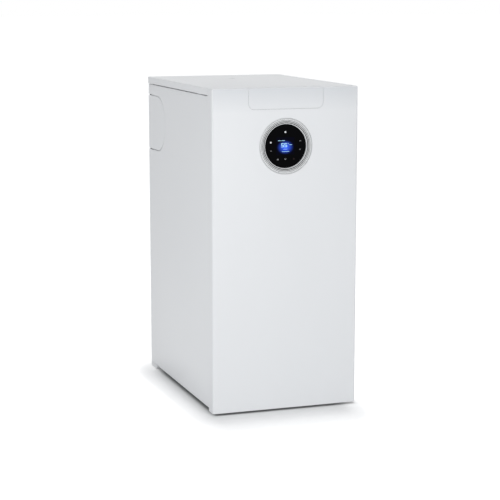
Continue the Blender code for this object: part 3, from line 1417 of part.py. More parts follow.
# Flue
def make_flue_collector():
    # Rounded sump under the exchanger, with a neck and a riser socket
    outline = rectangle(
        -COLLECTOR_HALF_WIDTH, collector_front_y, COLLECTOR_HALF_WIDTH, collector_rear_y, COLLECTOR_CORNER
    )
    body = plate("flue_collector", outline, "Z", collector_low_z, collector_top_z)
    neck_start = (0, exchanger_mid_y, collector_top_z - LAP)
    neck_length = COLLECTOR_NECK - SEAT + LAP - EXCHANGER_RIB
    join(body, rod("neck", neck_start, "+Z", SPIGOT_RADIUS + SOCKET_WALL, neck_length, ROUND))
    socket_start = (0, riser_y, collector_top_z - LAP)
    join(body, rod("socket", socket_start, "+Z", FLUE_RADIUS + SOCKET_WALL, SOCKET_HEIGHT, ROUND))
    drain_start = (0, TRAP_Y, collector_low_z + LAP)
    spigot_length = DRAIN_SPIGOT_LENGTH + LAP
    join(body, rod("drain_spigot", drain_start, "-Z", DRAIN_SPIGOT_RADIUS, spigot_length, SMALL))
    wall = COLLECTOR_WALL
    inside_outline = rectangle(
        -COLLECTOR_HALF_WIDTH + wall, collector_front_y + wall,
        COLLECTOR_HALF_WIDTH - wall, collector_rear_y - wall, COLLECTOR_CORNER - wall,
    )
    inside = plate("collector_inside", inside_outline, "Z", collector_low_z + wall, collector_top_z - wall)
    neck_bore_start = (0, exchanger_mid_y, collector_top_z - wall - LAP)
    neck_bore = rod(
        "neck_bore", neck_bore_start, "+Z", SPIGOT_RADIUS + SEAT, COLLECTOR_NECK + wall + OVERCUT, ROUND
    )
    socket_bore_start = (0, riser_y, collector_top_z)
    socket_bore = rod(
        "socket_bore", socket_bore_start, "+Z", FLUE_RADIUS + SEAT, SOCKET_HEIGHT + OVERCUT, ROUND
    )
    way_start = (0, riser_y, collector_top_z - wall - LAP)
    riser_way = rod("riser_way", way_start, "+Z", FLUE_RADIUS - 2 * FLUE_WALL, wall + 2 * LAP, ROUND)
    drain = rod(
        "drain_bore", (0, TRAP_Y, collector_low_z + wall + LAP), "-Z",
        DRAIN_SPIGOT_RADIUS / 2, DRAIN_SPIGOT_LENGTH + wall + OVERCUT, SMALL,
    )
    return finish(cut(body, inside, neck_bore, socket_bore, riser_way, drain), white_plastic)


def adaptor_top_z():
    return elbow_z - SEAT


def make_flue_riser():
    start_z = collector_top_z + SEAT
    length = adaptor_top_z() - SEAT - start_z
    inner = FLUE_RADIUS - FLUE_WALL
    profile = [(FLUE_RADIUS, length), (FLUE_RADIUS, 0), (inner, 0), (inner, length)]
    riser = turned("flue_riser", profile, (0, riser_y, start_z), "+Z", ROUND, closed=True)
    return finish(riser, white_plastic)


def make_flue_adaptor():
    # Flared collar that carries the outer air pipe on the riser
    low_z = adaptor_top_z() - ADAPTOR_HEIGHT
    inner = FLUE_RADIUS + SEAT
    wall = ADAPTOR_WALL
    profile = [
        (AIR_RADIUS, ADAPTOR_HEIGHT),
        (AIR_RADIUS, ADAPTOR_COLLAR + wall),
        (inner + wall, ADAPTOR_COLLAR - wall),
        (inner + wall, 0),
        (inner, 0),
        (inner, ADAPTOR_COLLAR),
        (AIR_RADIUS - wall, ADAPTOR_COLLAR + 2 * wall),
        (AIR_RADIUS - wall, ADAPTOR_HEIGHT),
    ]
    adaptor = turned("flue_adaptor", profile, (0, riser_y, low_z), "+Z", FINE, closed=True)
    boss_y = riser_y - inner - wall / 2
    boss_z = low_z + CAP_RADIUS + wall
    join(adaptor, rod("test_boss", (0, boss_y, boss_z), "-Y", CAP_RADIUS, TEST_BOSS_LENGTH, SMALL))
    bore_length = TEST_BOSS_LENGTH + OVERCUT
    cut(adaptor, rod("test_bore", (0, boss_y, boss_z), "-Y", CAP_PLUG_RADIUS + SEAT, bore_length, SMALL))
    return finish(adaptor, black_plastic)


def make_flue_test_cap():
    # Plug on a knurled head, pushed into the sampling boss
    inner = FLUE_RADIUS + SEAT
    face_y = riser_y - inner - ADAPTOR_WALL / 2 - TEST_BOSS_LENGTH
    z = adaptor_top_z() - ADAPTOR_HEIGHT + CAP_RADIUS + ADAPTOR_WALL
    plug = CAP_LENGTH / 2
    profile = [
        (0, CAP_LENGTH), (CAP_RADIUS, CAP_LENGTH), (CAP_RADIUS, plug), (CAP_PLUG_RADIUS, plug),
        (CAP_PLUG_RADIUS, 0), (0, 0),
    ]
    cap = turned("flue_test_cap", profile, (0, face_y - SEAT + plug, z), "-Y", SMALL)
    return finish(cap, black_plastic)


def elbow_points():
    low = (0, riser_y, elbow_z)
    corner = (0, riser_y, flue_axis_z)
    return [low, corner, (0, rear_y, flue_axis_z)]


def make_flue_elbow():
    return finish(pipe("flue_elbow", elbow_points(), flue_bend, AIR_RADIUS, FLUE_WALL, 4), white_paint)


def make_flue_inner_elbow():
    elbow = pipe("flue_inner_elbow", elbow_points(), flue_bend, FLUE_RADIUS, FLUE_WALL, 3)
    return finish(elbow, white_plastic)


# Condensate
def make_condensate_trap():
    # Bottle trap hung under the collector, with an outlet to the rear
    shoulder = TRAP_NECK_RADIUS
    profile = [
        (0, TRAP_LENGTH),
        (TRAP_NECK_RADIUS, TRAP_LENGTH),
        (TRAP_NECK_RADIUS, TRAP_LENGTH - shoulder),
        (TRAP_RADIUS, TRAP_LENGTH - 2 * shoulder),
        (TRAP_RADIUS, shoulder),
        (TRAP_RADIUS * TRAP_FOOT_SHARE, 0),
        (0, 0),
    ]
    low_z = trap_top_z - TRAP_LENGTH
    trap = turned("condensate_trap", profile, (0, TRAP_Y, low_z), "+Z", ROUND)
    join(trap, rod("outlet", (0, TRAP_Y, HOSE_Z), "+Y", HOSE_RADIUS, TRAP_RADIUS + HOSE_RADIUS, SMALL))
    socket_start = (0, TRAP_Y, trap_top_z + OVERCUT)
    depth = DRAIN_SPIGOT_LENGTH + OVERCUT + SEAT
    cut(trap, rod("trap_socket", socket_start, "-Z", DRAIN_SPIGOT_RADIUS + SEAT, depth, SMALL))
    return finish(trap, grey_plastic)


def make_condensate_hose():
    start = (0, TRAP_Y + TRAP_RADIUS + HOSE_RADIUS + SEAT, HOSE_Z)
    drop_y = start[1] + PIPE_BEND + HOSE_RADIUS
    points = [start, (0, drop_y, HOSE_Z), (0, drop_y, HOSE_EXIT_Z), (0, rear_y, HOSE_EXIT_Z)]
    return finish(pipe("condensate_hose", points, PIPE_BEND, HOSE_RADIUS, HOSE_WALL, 2), grey_plastic)


# Water pipes
def make_flow_pipe():
    start = (PORT_X, exchanger_mid_y, FLOW_BOSS_Z + SEAT)
    points = [start, (PORT_X, exchanger_mid_y, FLOW_RUN_Z), (PORT_X, rear_y, FLOW_RUN_Z)]
    return finish(pipe("flow_pipe", points, PIPE_BEND, WATER_RADIUS, WATER_WALL), copper)


def make_return_pipe():
    start = (-PORT_X, exchanger_mid_y, RETURN_BOSS_Z - SEAT)
    points = [start, (-PORT_X, exchanger_mid_y, RETURN_RUN_Z), (-PORT_X, rear_y, RETURN_RUN_Z)]
    return finish(pipe("return_pipe", points, PIPE_BEND, WATER_RADIUS, WATER_WALL), copper)


def make_flow_sensor():
    # Screwed into the face of the exchanger's flow boss
    start_y = exchanger_mid_y - BOSS_RADIUS - SEAT
    nose = SENSOR_RADIUS * SENSOR_NOSE_SHARE
    profile = [
        (0, SENSOR_LENGTH), (nose, SENSOR_LENGTH), (nose, SENSOR_TIP),
        (SENSOR_RADIUS, SENSOR_TIP), (SENSOR_RADIUS, 0), (0, 0),
    ]
    z = FLOW_BOSS_Z - SENSOR_RADIUS - LAP
    return finish(turned("flow_sensor", profile, (PORT_X, start_y, z), "-Y", SMALL), brass)


def drain_end_y():
    return exchanger_mid_y - DRAIN_REACH


def make_drain_pipe_and_cock():
    # Tail from the return pipe, with the drain cock at its front end
    tail_z = (RETURN_BOSS_Z + RETURN_RUN_Z) / 2
    start_y = exchanger_mid_y - WATER_RADIUS - SEAT
    length = start_y - drain_end_y()
    cock = rod("drain_cock", (-PORT_X, start_y, tail_z), "-Y", DRAIN_RADIUS, length, SMALL)
    body_start = (-PORT_X, drain_end_y() + LAP, tail_z)
    join(cock, rod("cock_body", body_start, "-Y", DRAIN_COCK_RADIUS, DRAIN_COCK_LENGTH, SMALL))
    nozzle_y = drain_end_y() - DRAIN_COCK_LENGTH / 2
    join(cock, rod("nozzle", (-PORT_X, nozzle_y, tail_z), "-Z", DRAIN_RADIUS, DRAIN_COCK_RADIUS * 2, SMALL))
    face_y = body_start[1] - DRAIN_COCK_LENGTH
    hole_start = (-PORT_X, face_y - OVERCUT, tail_z)
    hole = rod("spindle_hole", hole_start, "+Y", SPINDLE_RADIUS + SEAT, SPINDLE_OUT + OVERCUT + SEAT, SMALL)
    outlet_z = tail_z - DRAIN_COCK_RADIUS * 2
    outlet = rod(
        "nozzle_bore", (-PORT_X, nozzle_y, outlet_z - OVERCUT), "+Z",
        DRAIN_RADIUS / 2, DRAIN_COCK_RADIUS + OVERCUT, SMALL,
    )
    return finish(cut(cock, hole, outlet), brass)


def make_drain_spindle():
    tail_z = (RETURN_BOSS_Z + RETURN_RUN_Z) / 2
    face_y = drain_end_y() + LAP - DRAIN_COCK_LENGTH
    start = (-PORT_X, face_y + SPINDLE_OUT, tail_z)
    spindle = rod("drain_spindle", start, "-Y", SPINDLE_RADIUS, 2 * SPINDLE_OUT, SMALL)
    half = SPINDLE_SQUARE / 2
    low = (-PORT_X - half, face_y - 2 * SPINDLE_OUT, tail_z - half)
    high = (-PORT_X + half, face_y - SPINDLE_OUT + LAP, tail_z + half)
    join(spindle, block("square", low, high))
    return finish(set_origin(spindle, (-PORT_X, face_y, tail_z)), brass)


# Cables
def smooth_path(start, start_pull, end, end_pull, steps):
    # A single sweep between two points, given its direction at each end
    first = Vector(start)
    last = Vector(end)
    near = first + Vector(start_pull)
    far = last + Vector(end_pull)
    path = []
    for step in range(steps + 1):
        t = step / steps
        s = 1 - t
        path.append(first * s**3 + near * (3 * s * s * t) + far * (3 * s * t * t) + last * t**3)
    return path


def make_wiring_loom():
    # From the underside of the control box to a coil of the gas valve
    coil_x = VALVE_X + SOLENOID_APART / 2
    start = (coil_x, (box_front_y + box_rear_y) / 2, box_bottom_z - SEAT)
    end = (coil_x, venturi_mid_y, valve_top_z + SOLENOID_HEIGHT + SEAT)
    pull = (start[2] - end[2]) * LOOM_PULL_SHARE
    below = (start[0], start[1], start[2] - LOOM_RADIUS)
    above = (end[0], end[1], end[2] + LOOM_RADIUS)
    path = [start, *smooth_path(below, (0, 0, -pull), above, (0, 0, pull), LOOM_STEPS), end]
    return finish(tube("wiring_loom", path, LOOM_RADIUS, 1), rubber)


def make_cable_gland():
    # Through the rear panel, with a flange on the inside
    inside_y = panel_front_y - SEAT
    tail = rear_y - inside_y
    profile = [
        (GLAND_RADIUS, tail),
        (GLAND_RADIUS, 0),
        (GLAND_RADIUS * GLAND_FLANGE_SHARE, 0),
        (GLAND_RADIUS * GLAND_FLANGE_SHARE, -GLAND_LENGTH * GLAND_FLANGE_LENGTH_SHARE),
        (GLAND_RADIUS * GLAND_NOSE_SHARE, -GLAND_LENGTH),
        (SUPPLY_RADIUS + SEAT, -GLAND_LENGTH),
        (SUPPLY_RADIUS + SEAT, tail),
    ]
    place = (supply_x, inside_y, SUPPLY_Z)
    return finish(turned("cable_gland", profile, place, "+Y", SMALL, closed=True), black_plastic)


make_front_panel()
make_access_flap()
make_flap_hinge_rod()
make_lid()
make_lid_plug()
make_side_panel("left_side_panel", -1)
make_side_panel("right_side_panel", 1)
make_flue_cover("left_flue_cover", -1)
make_flue_cover("right_flue_cover", 1)
make_rear_panel()
make_rail("top_front_rail", front_y + FRONT_RAIL_BACK)
make_rail("top_rear_rail", rear_y - REAR_RAIL_BACK)
make_base_tray()
make_glide("rear_glide_left", -1)
make_glide("rear_glide_right", 1)
make_levelling_foot("levelling_foot_left", -1)
make_levelling_foot("levelling_foot_right", 1)
make_display_bezel()
make_display_glass()
make_display_module()
make_control_box()
make_control_box_cover()
make_control_board()
make_service_recess()
make_mains_switch_body()
make_mains_switch_rocker()
make_heat_exchanger()
make_stand("exchanger_stand_left", -1)
make_stand("exchanger_stand_right", 1)
make_door_gasket()
make_burner_door()
make_burner()
make_ignition_electrode()
make_mixing_bend()
make_fan_housing()
make_fan_impeller()
make_fan_shaft()
make_fan_motor()
make_venturi()
make_air_intake_pipe()
make_gas_feed_pipe()
make_gas_valve()
make_gas_cock()
make_gas_cock_lever()
make_gas_inlet_pipe()
make_flue_collector()
make_flue_riser()
make_flue_adaptor()
make_flue_test_cap()
make_flue_elbow()
make_flue_inner_elbow()
make_condensate_trap()
make_condensate_hose()
make_flow_pipe()
make_return_pipe()
make_flow_sensor()
make_drain_pipe_and_cock()
make_drain_spindle()
make_wiring_loom()
make_cable_gland()
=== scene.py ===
import json
import math

import bmesh
import bpy
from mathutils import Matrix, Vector


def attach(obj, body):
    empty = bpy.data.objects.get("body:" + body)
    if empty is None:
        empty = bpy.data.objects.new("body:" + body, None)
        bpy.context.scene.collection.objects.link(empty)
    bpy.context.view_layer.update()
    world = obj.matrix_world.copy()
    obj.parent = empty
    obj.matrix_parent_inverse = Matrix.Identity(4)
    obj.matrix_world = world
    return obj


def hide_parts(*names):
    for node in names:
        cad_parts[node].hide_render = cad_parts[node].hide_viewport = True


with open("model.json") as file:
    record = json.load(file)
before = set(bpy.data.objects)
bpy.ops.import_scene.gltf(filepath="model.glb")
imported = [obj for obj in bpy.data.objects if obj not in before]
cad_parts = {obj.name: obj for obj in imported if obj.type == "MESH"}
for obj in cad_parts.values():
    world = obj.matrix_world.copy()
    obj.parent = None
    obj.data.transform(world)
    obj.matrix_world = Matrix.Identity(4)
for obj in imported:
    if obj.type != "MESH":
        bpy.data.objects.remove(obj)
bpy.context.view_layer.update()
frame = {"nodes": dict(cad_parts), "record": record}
print("frame loaded,", len(frame["nodes"]), "nodes")


# Working helpers
plusX, plusY, plusZ, minusY, minusZ = (1, 0, 0), (0, 1, 0), (0, 0, 1), (0, -1, 0), (0, 0, -1)


def clearSelection():
    if bpy.context.object and bpy.context.object.mode != "OBJECT":
        bpy.ops.object.mode_set(mode="OBJECT")
    bpy.ops.object.select_all(action="DESELECT")


def pick(piece):
    clearSelection()
    piece.select_set(True)
    bpy.context.view_layer.objects.active = piece


def mm(*pairs):
    # a profile in metres, from millimetres
    return [(first / 1000, last / 1000) for first, last in pairs]


def settle(piece, name):
    # the place goes into the mesh, as on a CAD node
    piece.name = name
    piece.data.name = name
    bpy.ops.object.transform_apply(location=True, rotation=True, scale=True)
    return piece


def addBox(name, corner, opposite):
    # between two opposite corners, in any order
    clearSelection()
    middle = (Vector(corner) + Vector(opposite)) / 2
    size = [abs(length) for length in Vector(opposite) - Vector(corner)]
    bpy.ops.mesh.primitive_cube_add(size=1, location=middle, scale=size)
    return settle(bpy.context.object, name)


def selectParts(piece, kind, test):
    # kind is FACE or EDGE
    pick(piece)
    bpy.ops.object.mode_set(mode="EDIT")
    bpy.ops.mesh.select_mode(type=kind)
    bpy.ops.mesh.select_all(action="DESELECT")
    shape = bmesh.from_edit_mesh(piece.data)
    for part in shape.faces if kind == "FACE" else shape.edges:
        part.select_set(bool(test(part)))
    bmesh.update_edit_mesh(piece.data)


def dropFaces(piece, test):
    selectParts(piece, "FACE", test)
    bpy.ops.mesh.delete(type="FACE")
    bpy.ops.object.mode_set(mode="OBJECT")
    return piece


def bevelSome(piece, test, width, segments):
    selectParts(piece, "EDGE", test)
    bpy.ops.mesh.bevel(offset=width, segments=segments, profile=0.5, affect="EDGES")
    bpy.ops.object.mode_set(mode="OBJECT")
    return piece


def applyModifier(piece, kind, **values):
    pick(piece)
    modifier = piece.modifiers.new("step", kind)
    for key, value in values.items():
        setattr(modifier, key, value)
    bpy.ops.object.modifier_apply(modifier=modifier.name)
    return piece


def soften(piece, width, segments=3, angle=35):
    return applyModifier(
        piece, "BEVEL", width=width, segments=segments, limit_method="ANGLE",
        angle_limit=math.radians(angle), harden_normals=False,
    )


def softBox(name, corner, opposite, width, segments):
    return soften(addBox(name, corner, opposite), width, segments)


def thicken(piece, wall, even=True):
    return applyModifier(piece, "SOLIDIFY", thickness=wall, offset=-1.0, use_even_offset=even)


def carve(piece, *cutters, operation="DIFFERENCE"):
    for cutter in cutters:
        applyModifier(piece, "BOOLEAN", operation=operation, solver="EXACT", object=cutter)
        bpy.data.objects.remove(cutter, do_unlink=True)
    return piece


def fuse(piece, *others):
    # joined as separate shells of one piece
    clearSelection()
    for other in others:
        other.select_set(True)
    piece.select_set(True)
    bpy.context.view_layer.objects.active = piece
    bpy.ops.object.join()
    return piece


def runsAlong(axis):
    return lambda edge: abs(edge.verts[0].co[axis] - edge.verts[1].co[axis]) > 1e-5


def tidyMesh(piece, angle=32):
    pick(piece)
    bpy.ops.object.mode_set(mode="EDIT")
    bpy.ops.mesh.select_all(action="SELECT")
    bpy.ops.mesh.remove_doubles(threshold=0.00001)
    bpy.ops.mesh.normals_make_consistent(inside=False)
    bpy.ops.object.mode_set(mode="OBJECT")
    bpy.ops.object.shade_smooth_by_angle(angle=math.radians(angle))
    return piece


def welded(piece, *others):
    return tidyMesh(fuse(piece, *others), 30)


def copyTo(piece, name, shift):
    pick(piece)
    bpy.ops.object.duplicate(linked=False)
    bpy.ops.transform.translate(value=shift)
    return settle(bpy.context.object, name)


def eased(points, radius, steps=4):
    # rounds the corners of a list of 2D points, all but the first and last
    made = [points[0]]
    for before, here, after in zip(points, points[1:], points[2:]):
        here = Vector(here)
        back = Vector(before) - here
        ahead = Vector(after) - here
        reach = min(radius, back.length * 0.45, ahead.length * 0.45)
        start = here + back.normalized() * reach
        end = here + ahead.normalized() * reach
        for step in range(steps + 1):
            t = step / steps
            made.append(tuple(start * (1 - t) ** 2 + here * (2 * t * (1 - t)) + end * t**2))
    made.append(points[-1])
    return made


def turned(name, start, direction, profile, sides=64, ring=False):
    # a circle drawn out along its axis and resized at each (radius, along) of the profile
    axis = Vector(direction)
    start = Vector(start)
    clearSelection()
    radius, along = profile[0]
    bpy.ops.mesh.primitive_circle_add(
        vertices=sides, radius=radius, fill_type="NOTHING" if ring else "NGON",
        location=start + axis * along, rotation=axis.to_track_quat("Z", "Y").to_euler(),
    )
    piece = settle(bpy.context.object, name)
    bpy.ops.object.mode_set(mode="EDIT")
    bpy.ops.mesh.select_mode(type="EDGE" if ring else "FACE")
    bpy.ops.mesh.select_all(action="SELECT")
    path = profile[1:] + ([profile[0]] if ring else [])
    for nextRadius, nextAlong in path:
        step = axis * (nextAlong - along)
        bpy.ops.mesh.extrude_region_move(TRANSFORM_OT_translate={"value": step})
        if abs(nextRadius - radius) > 1e-7:
            scale = nextRadius / radius
            centre = start + axis * nextAlong
            bpy.ops.transform.resize(value=(scale, scale, scale), center_override=centre)
        radius, along = nextRadius, nextAlong
    bpy.ops.object.mode_set(mode="OBJECT")
    return tidyMesh(piece)


def bentPipe(name, corners, bend, radius, wall, sides=40, steps=10, even=True):
    # a ring drawn along its runs and spun round each bend
    corners = [Vector(corner) for corner in corners]
    axis = (corners[1] - corners[0]).normalized()
    clearSelection()
    bpy.ops.mesh.primitive_circle_add(
        vertices=sides, radius=radius, fill_type="NOTHING",
        location=corners[0], rotation=axis.to_track_quat("Z", "Y").to_euler(),
    )
    piece = settle(bpy.context.object, name)
    bpy.ops.object.mode_set(mode="EDIT")
    bpy.ops.mesh.select_mode(type="EDGE")
    bpy.ops.mesh.select_all(action="SELECT")
    here = corners[0]
    for before, corner, after in zip(corners, corners[1:], corners[2:]):
        into = (corner - before).normalized()
        out = (after - corner).normalized()
        turn = into.angle(out)
        reach = bend * math.tan(turn / 2)
        bpy.ops.mesh.extrude_region_move(TRANSFORM_OT_translate={"value": corner - into * reach - here})
        spinAxis = into.cross(out).normalized()
        centre = corner - into * reach + spinAxis.cross(into) * bend
        bpy.ops.mesh.spin(steps=steps, angle=turn, center=centre, axis=-spinAxis)
        here = corner + out * reach
    bpy.ops.mesh.extrude_region_move(TRANSFORM_OT_translate={"value": corners[-1] - here})
    bpy.ops.object.mode_set(mode="OBJECT")
    tidyMesh(piece)
    thicken(piece, wall, even)
    return tidyMesh(piece)


def plateOf(name, outline, axis, *ends):
    # a flat face of the outline, drawn out between two ends; axis 0 is X, 1 is Y, 2 is Z
    low, high = sorted(ends)
    clearSelection()
    mesh = bpy.data.meshes.new(name)
    corners = []
    for first, second in outline:
        place = [first, second]
        place.insert(axis, low)
        corners.append(place)
    mesh.from_pydata(corners, [], [list(range(len(corners)))])
    piece = bpy.data.objects.new(name, mesh)
    bpy.context.scene.collection.objects.link(piece)
    pick(piece)
    step = [0.0, 0.0, 0.0]
    step[axis] = high - low
    bpy.ops.object.mode_set(mode="EDIT")
    bpy.ops.mesh.select_all(action="SELECT")
    bpy.ops.mesh.extrude_region_move(TRANSFORM_OT_translate={"value": step})
    bpy.ops.object.mode_set(mode="OBJECT")
    return tidyMesh(piece)


def arcOf(centre, radius, first, last, steps):
    made = []
    for step in range(steps + 1):
        angle = math.radians(first + (last - first) * step / steps)
        made.append((centre[0] + radius * math.cos(angle), centre[1] + radius * math.sin(angle)))
    return made


def dress(piece, look, node=None, body="chassis"):
    # look names a finish, which becomes the piece's only material
    piece.data.materials.clear()
    piece.data.materials.append(finish[look])
    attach(piece, body)
    if node:
        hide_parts(node)
    return piece


# Shared shader groups
def addNode(tree, kind, *feeds, **values):
    # a node with its first inputs fed in order, by sockets or plain values
    node = tree.nodes.new("ShaderNode" + kind)
    for key, value in values.items():
        setattr(node, key, value)
    for socket, feed in zip(node.inputs, feeds):
        if isinstance(feed, bpy.types.NodeSocket):
            tree.links.new(feed, socket)
        elif feed is not None:
            socket.default_value = feed
    return node


def mathOf(tree, operation, *feeds, clamp=False):
    return addNode(tree, "Math", *feeds, operation=operation, use_clamp=clamp).outputs[0]


def newGroup(name, inputs, outputs):
    group = bpy.data.node_groups.new(name, "ShaderNodeTree")
    for label, kind, value in inputs:
        socket = group.interface.new_socket(label, in_out="INPUT", socket_type=kind)
        socket.default_value = value
    for label, kind in outputs:
        group.interface.new_socket(label, in_out="OUTPUT", socket_type=kind)
    return group, group.nodes.new("NodeGroupInput"), group.nodes.new("NodeGroupOutput")


def makeGrainGroup():
    # fine relief and a slow drift of tone, both over object coordinates
    group, given, out = newGroup(
        "surfaceGrain",
        [("Scale", "NodeSocketFloat", 900.0), ("Detail", "NodeSocketFloat", 3.0),
         ("Stretch", "NodeSocketVector", (1.0, 1.0, 1.0)), ("Drift Scale", "NodeSocketFloat", 6.0)],
        [("Height", "NodeSocketFloat"), ("Drift", "NodeSocketFloat")],
    )
    place = addNode(group, "TexCoord").outputs["Object"]
    stretched = addNode(group, "VectorMath", place, given.outputs["Stretch"], operation="MULTIPLY").outputs[0]
    fine = addNode(group, "TexNoise", stretched, None, given.outputs["Scale"], given.outputs["Detail"])
    slow = addNode(group, "TexNoise", place, None, given.outputs["Drift Scale"], 2.0)
    group.links.new(fine.outputs["Fac"], out.inputs["Height"])
    group.links.new(slow.outputs["Fac"], out.inputs["Drift"])
    return group


def makeEdgeGroup():
    # how worn an outer edge is, broken up by noise
    group, given, out = newGroup(
        "edgeRub",
        [("Reach", "NodeSocketFloat", 0.53), ("Break Up", "NodeSocketFloat", 60.0)],
        [("Mask", "NodeSocketFloat")],
    )
    outward = addNode(group, "NewGeometry").outputs["Pointiness"]
    place = addNode(group, "TexCoord").outputs["Object"]
    noise = addNode(group, "TexNoise", place, None, given.outputs["Break Up"], 4.0).outputs["Fac"]
    over = mathOf(group, "SUBTRACT", outward, given.outputs["Reach"])
    gain = mathOf(group, "MULTIPLY", over, 9.0, clamp=True)
    patchy = mathOf(group, "MULTIPLY", gain, noise, clamp=True)
    group.links.new(patchy, out.inputs["Mask"])
    return group


def makeDustGroup():
    # a thin film that settles on faces that look up
    group, given, out = newGroup(
        "settledDust",
        [("Amount", "NodeSocketFloat", 0.05), ("Scale", "NodeSocketFloat", 25.0)],
        [("Mask", "NodeSocketFloat")],
    )
    normal = addNode(group, "NewGeometry").outputs["Normal"]
    rise = addNode(group, "SeparateXYZ", normal).outputs["Z"]
    place = addNode(group, "TexCoord").outputs["Object"]
    noise = addNode(group, "TexNoise", place, None, given.outputs["Scale"], 5.0).outputs["Fac"]
    upward = mathOf(group, "MULTIPLY", rise, noise, clamp=True)
    film = mathOf(group, "MULTIPLY", upward, given.outputs["Amount"], clamp=True)
    group.links.new(film, out.inputs["Mask"])
    return group


grainGroup = makeGrainGroup()
edgeGroup = makeEdgeGroup()
dustGroup = makeDustGroup()


def easedRange(tree, *feeds):
    return addNode(tree, "MapRange", *feeds, interpolation_type="SMOOTHSTEP").outputs[0]


def mixColour(tree, share, first, second):
    # a colour is a socket or three numbers
    mix = addNode(tree, "Mix", share, data_type="RGBA")
    for slot, colour in ((6, first), (7, second)):
        if isinstance(colour, bpy.types.NodeSocket):
            tree.links.new(colour, mix.inputs[slot])
        else:
            mix.inputs[slot].default_value = (*colour, 1)
    return mix.outputs[2]


def addGroup(tree, group, **values):
    node = addNode(tree, "Group", node_tree=group)
    for label, value in values.items():
        node.inputs[label].default_value = value
    return node.outputs


def makeFinish(name, look):
    # shade is the colour it drifts to; grain is a scale and a height, which stretch pulls along an axis
    made = bpy.data.materials.new(name)
    made.use_nodes = True
    tree = made.node_tree
    shader = tree.nodes["Principled BSDF"]
    shader.inputs["Metallic"].default_value = look.get("metal", 0.0)
    shader.inputs["IOR"].default_value = 1.5
    shader.inputs["Specular IOR Level"].default_value = look.get("specular", 0.5)
    scale, bump = look["grain"]
    grain = addGroup(
        tree, grainGroup,
        **{"Scale": scale, "Stretch": look.get("stretch", (1, 1, 1)), "Drift Scale": look["driftScale"]},
    )
    colour = mixColour(tree, grain["Drift"], look["colour"], look["shade"])
    if "speck" in look:
        # grain that shows in the colour too, as in a casting or zinc
        speckColour, speckShare = look["speck"]
        share = addNode(tree, "MapRange", grain["Height"], 0.35, 0.7, 0.0, speckShare).outputs[0]
        colour = mixColour(tree, share, colour, speckColour)
    if "fade" in look:
        # painted shade: the paint turns greyer towards the top of the front, standing in for the shade that falls
        # there
        low, high, shadedTopColour = look["fade"]
        place = addNode(tree, "TexCoord").outputs
        height = addNode(tree, "SeparateXYZ", place["Object"]).outputs["Z"]
        rise = addNode(tree, "MapRange", height, low, high).outputs[0]
        # the painted shade lies only where the face looks forwards, so the rounded edge and the top leaf stay light
        turn = addNode(tree, "SeparateXYZ", place["Normal"]).outputs["Y"]
        ahead = addNode(tree, "MapRange", turn, -0.85, -0.99).outputs[0]
        share = mathOf(tree, "MULTIPLY", rise, ahead)
        colour = mixColour(tree, share, colour, shadedTopColour)
    if "edge" in look:
        colour = mixColour(tree, addGroup(tree, edgeGroup)["Mask"], colour, look["edge"])
    if "dust" in look:
        film = addGroup(tree, dustGroup, Amount=look["dust"])["Mask"]
        colour = mixColour(tree, film, colour, (0.42, 0.4, 0.37))
    rough = addNode(tree, "MapRange", grain["Drift"], 0.0, 1.0, *look["rough"]).outputs[0]
    relief = addNode(tree, "Bump", 1.0, bump)
    tree.links.new(grain["Height"], relief.inputs["Height"])
    for label, socket in (("Base Color", colour), ("Roughness", rough), ("Normal", relief.outputs[0])):
        tree.links.new(socket, shader.inputs[label])
    return made


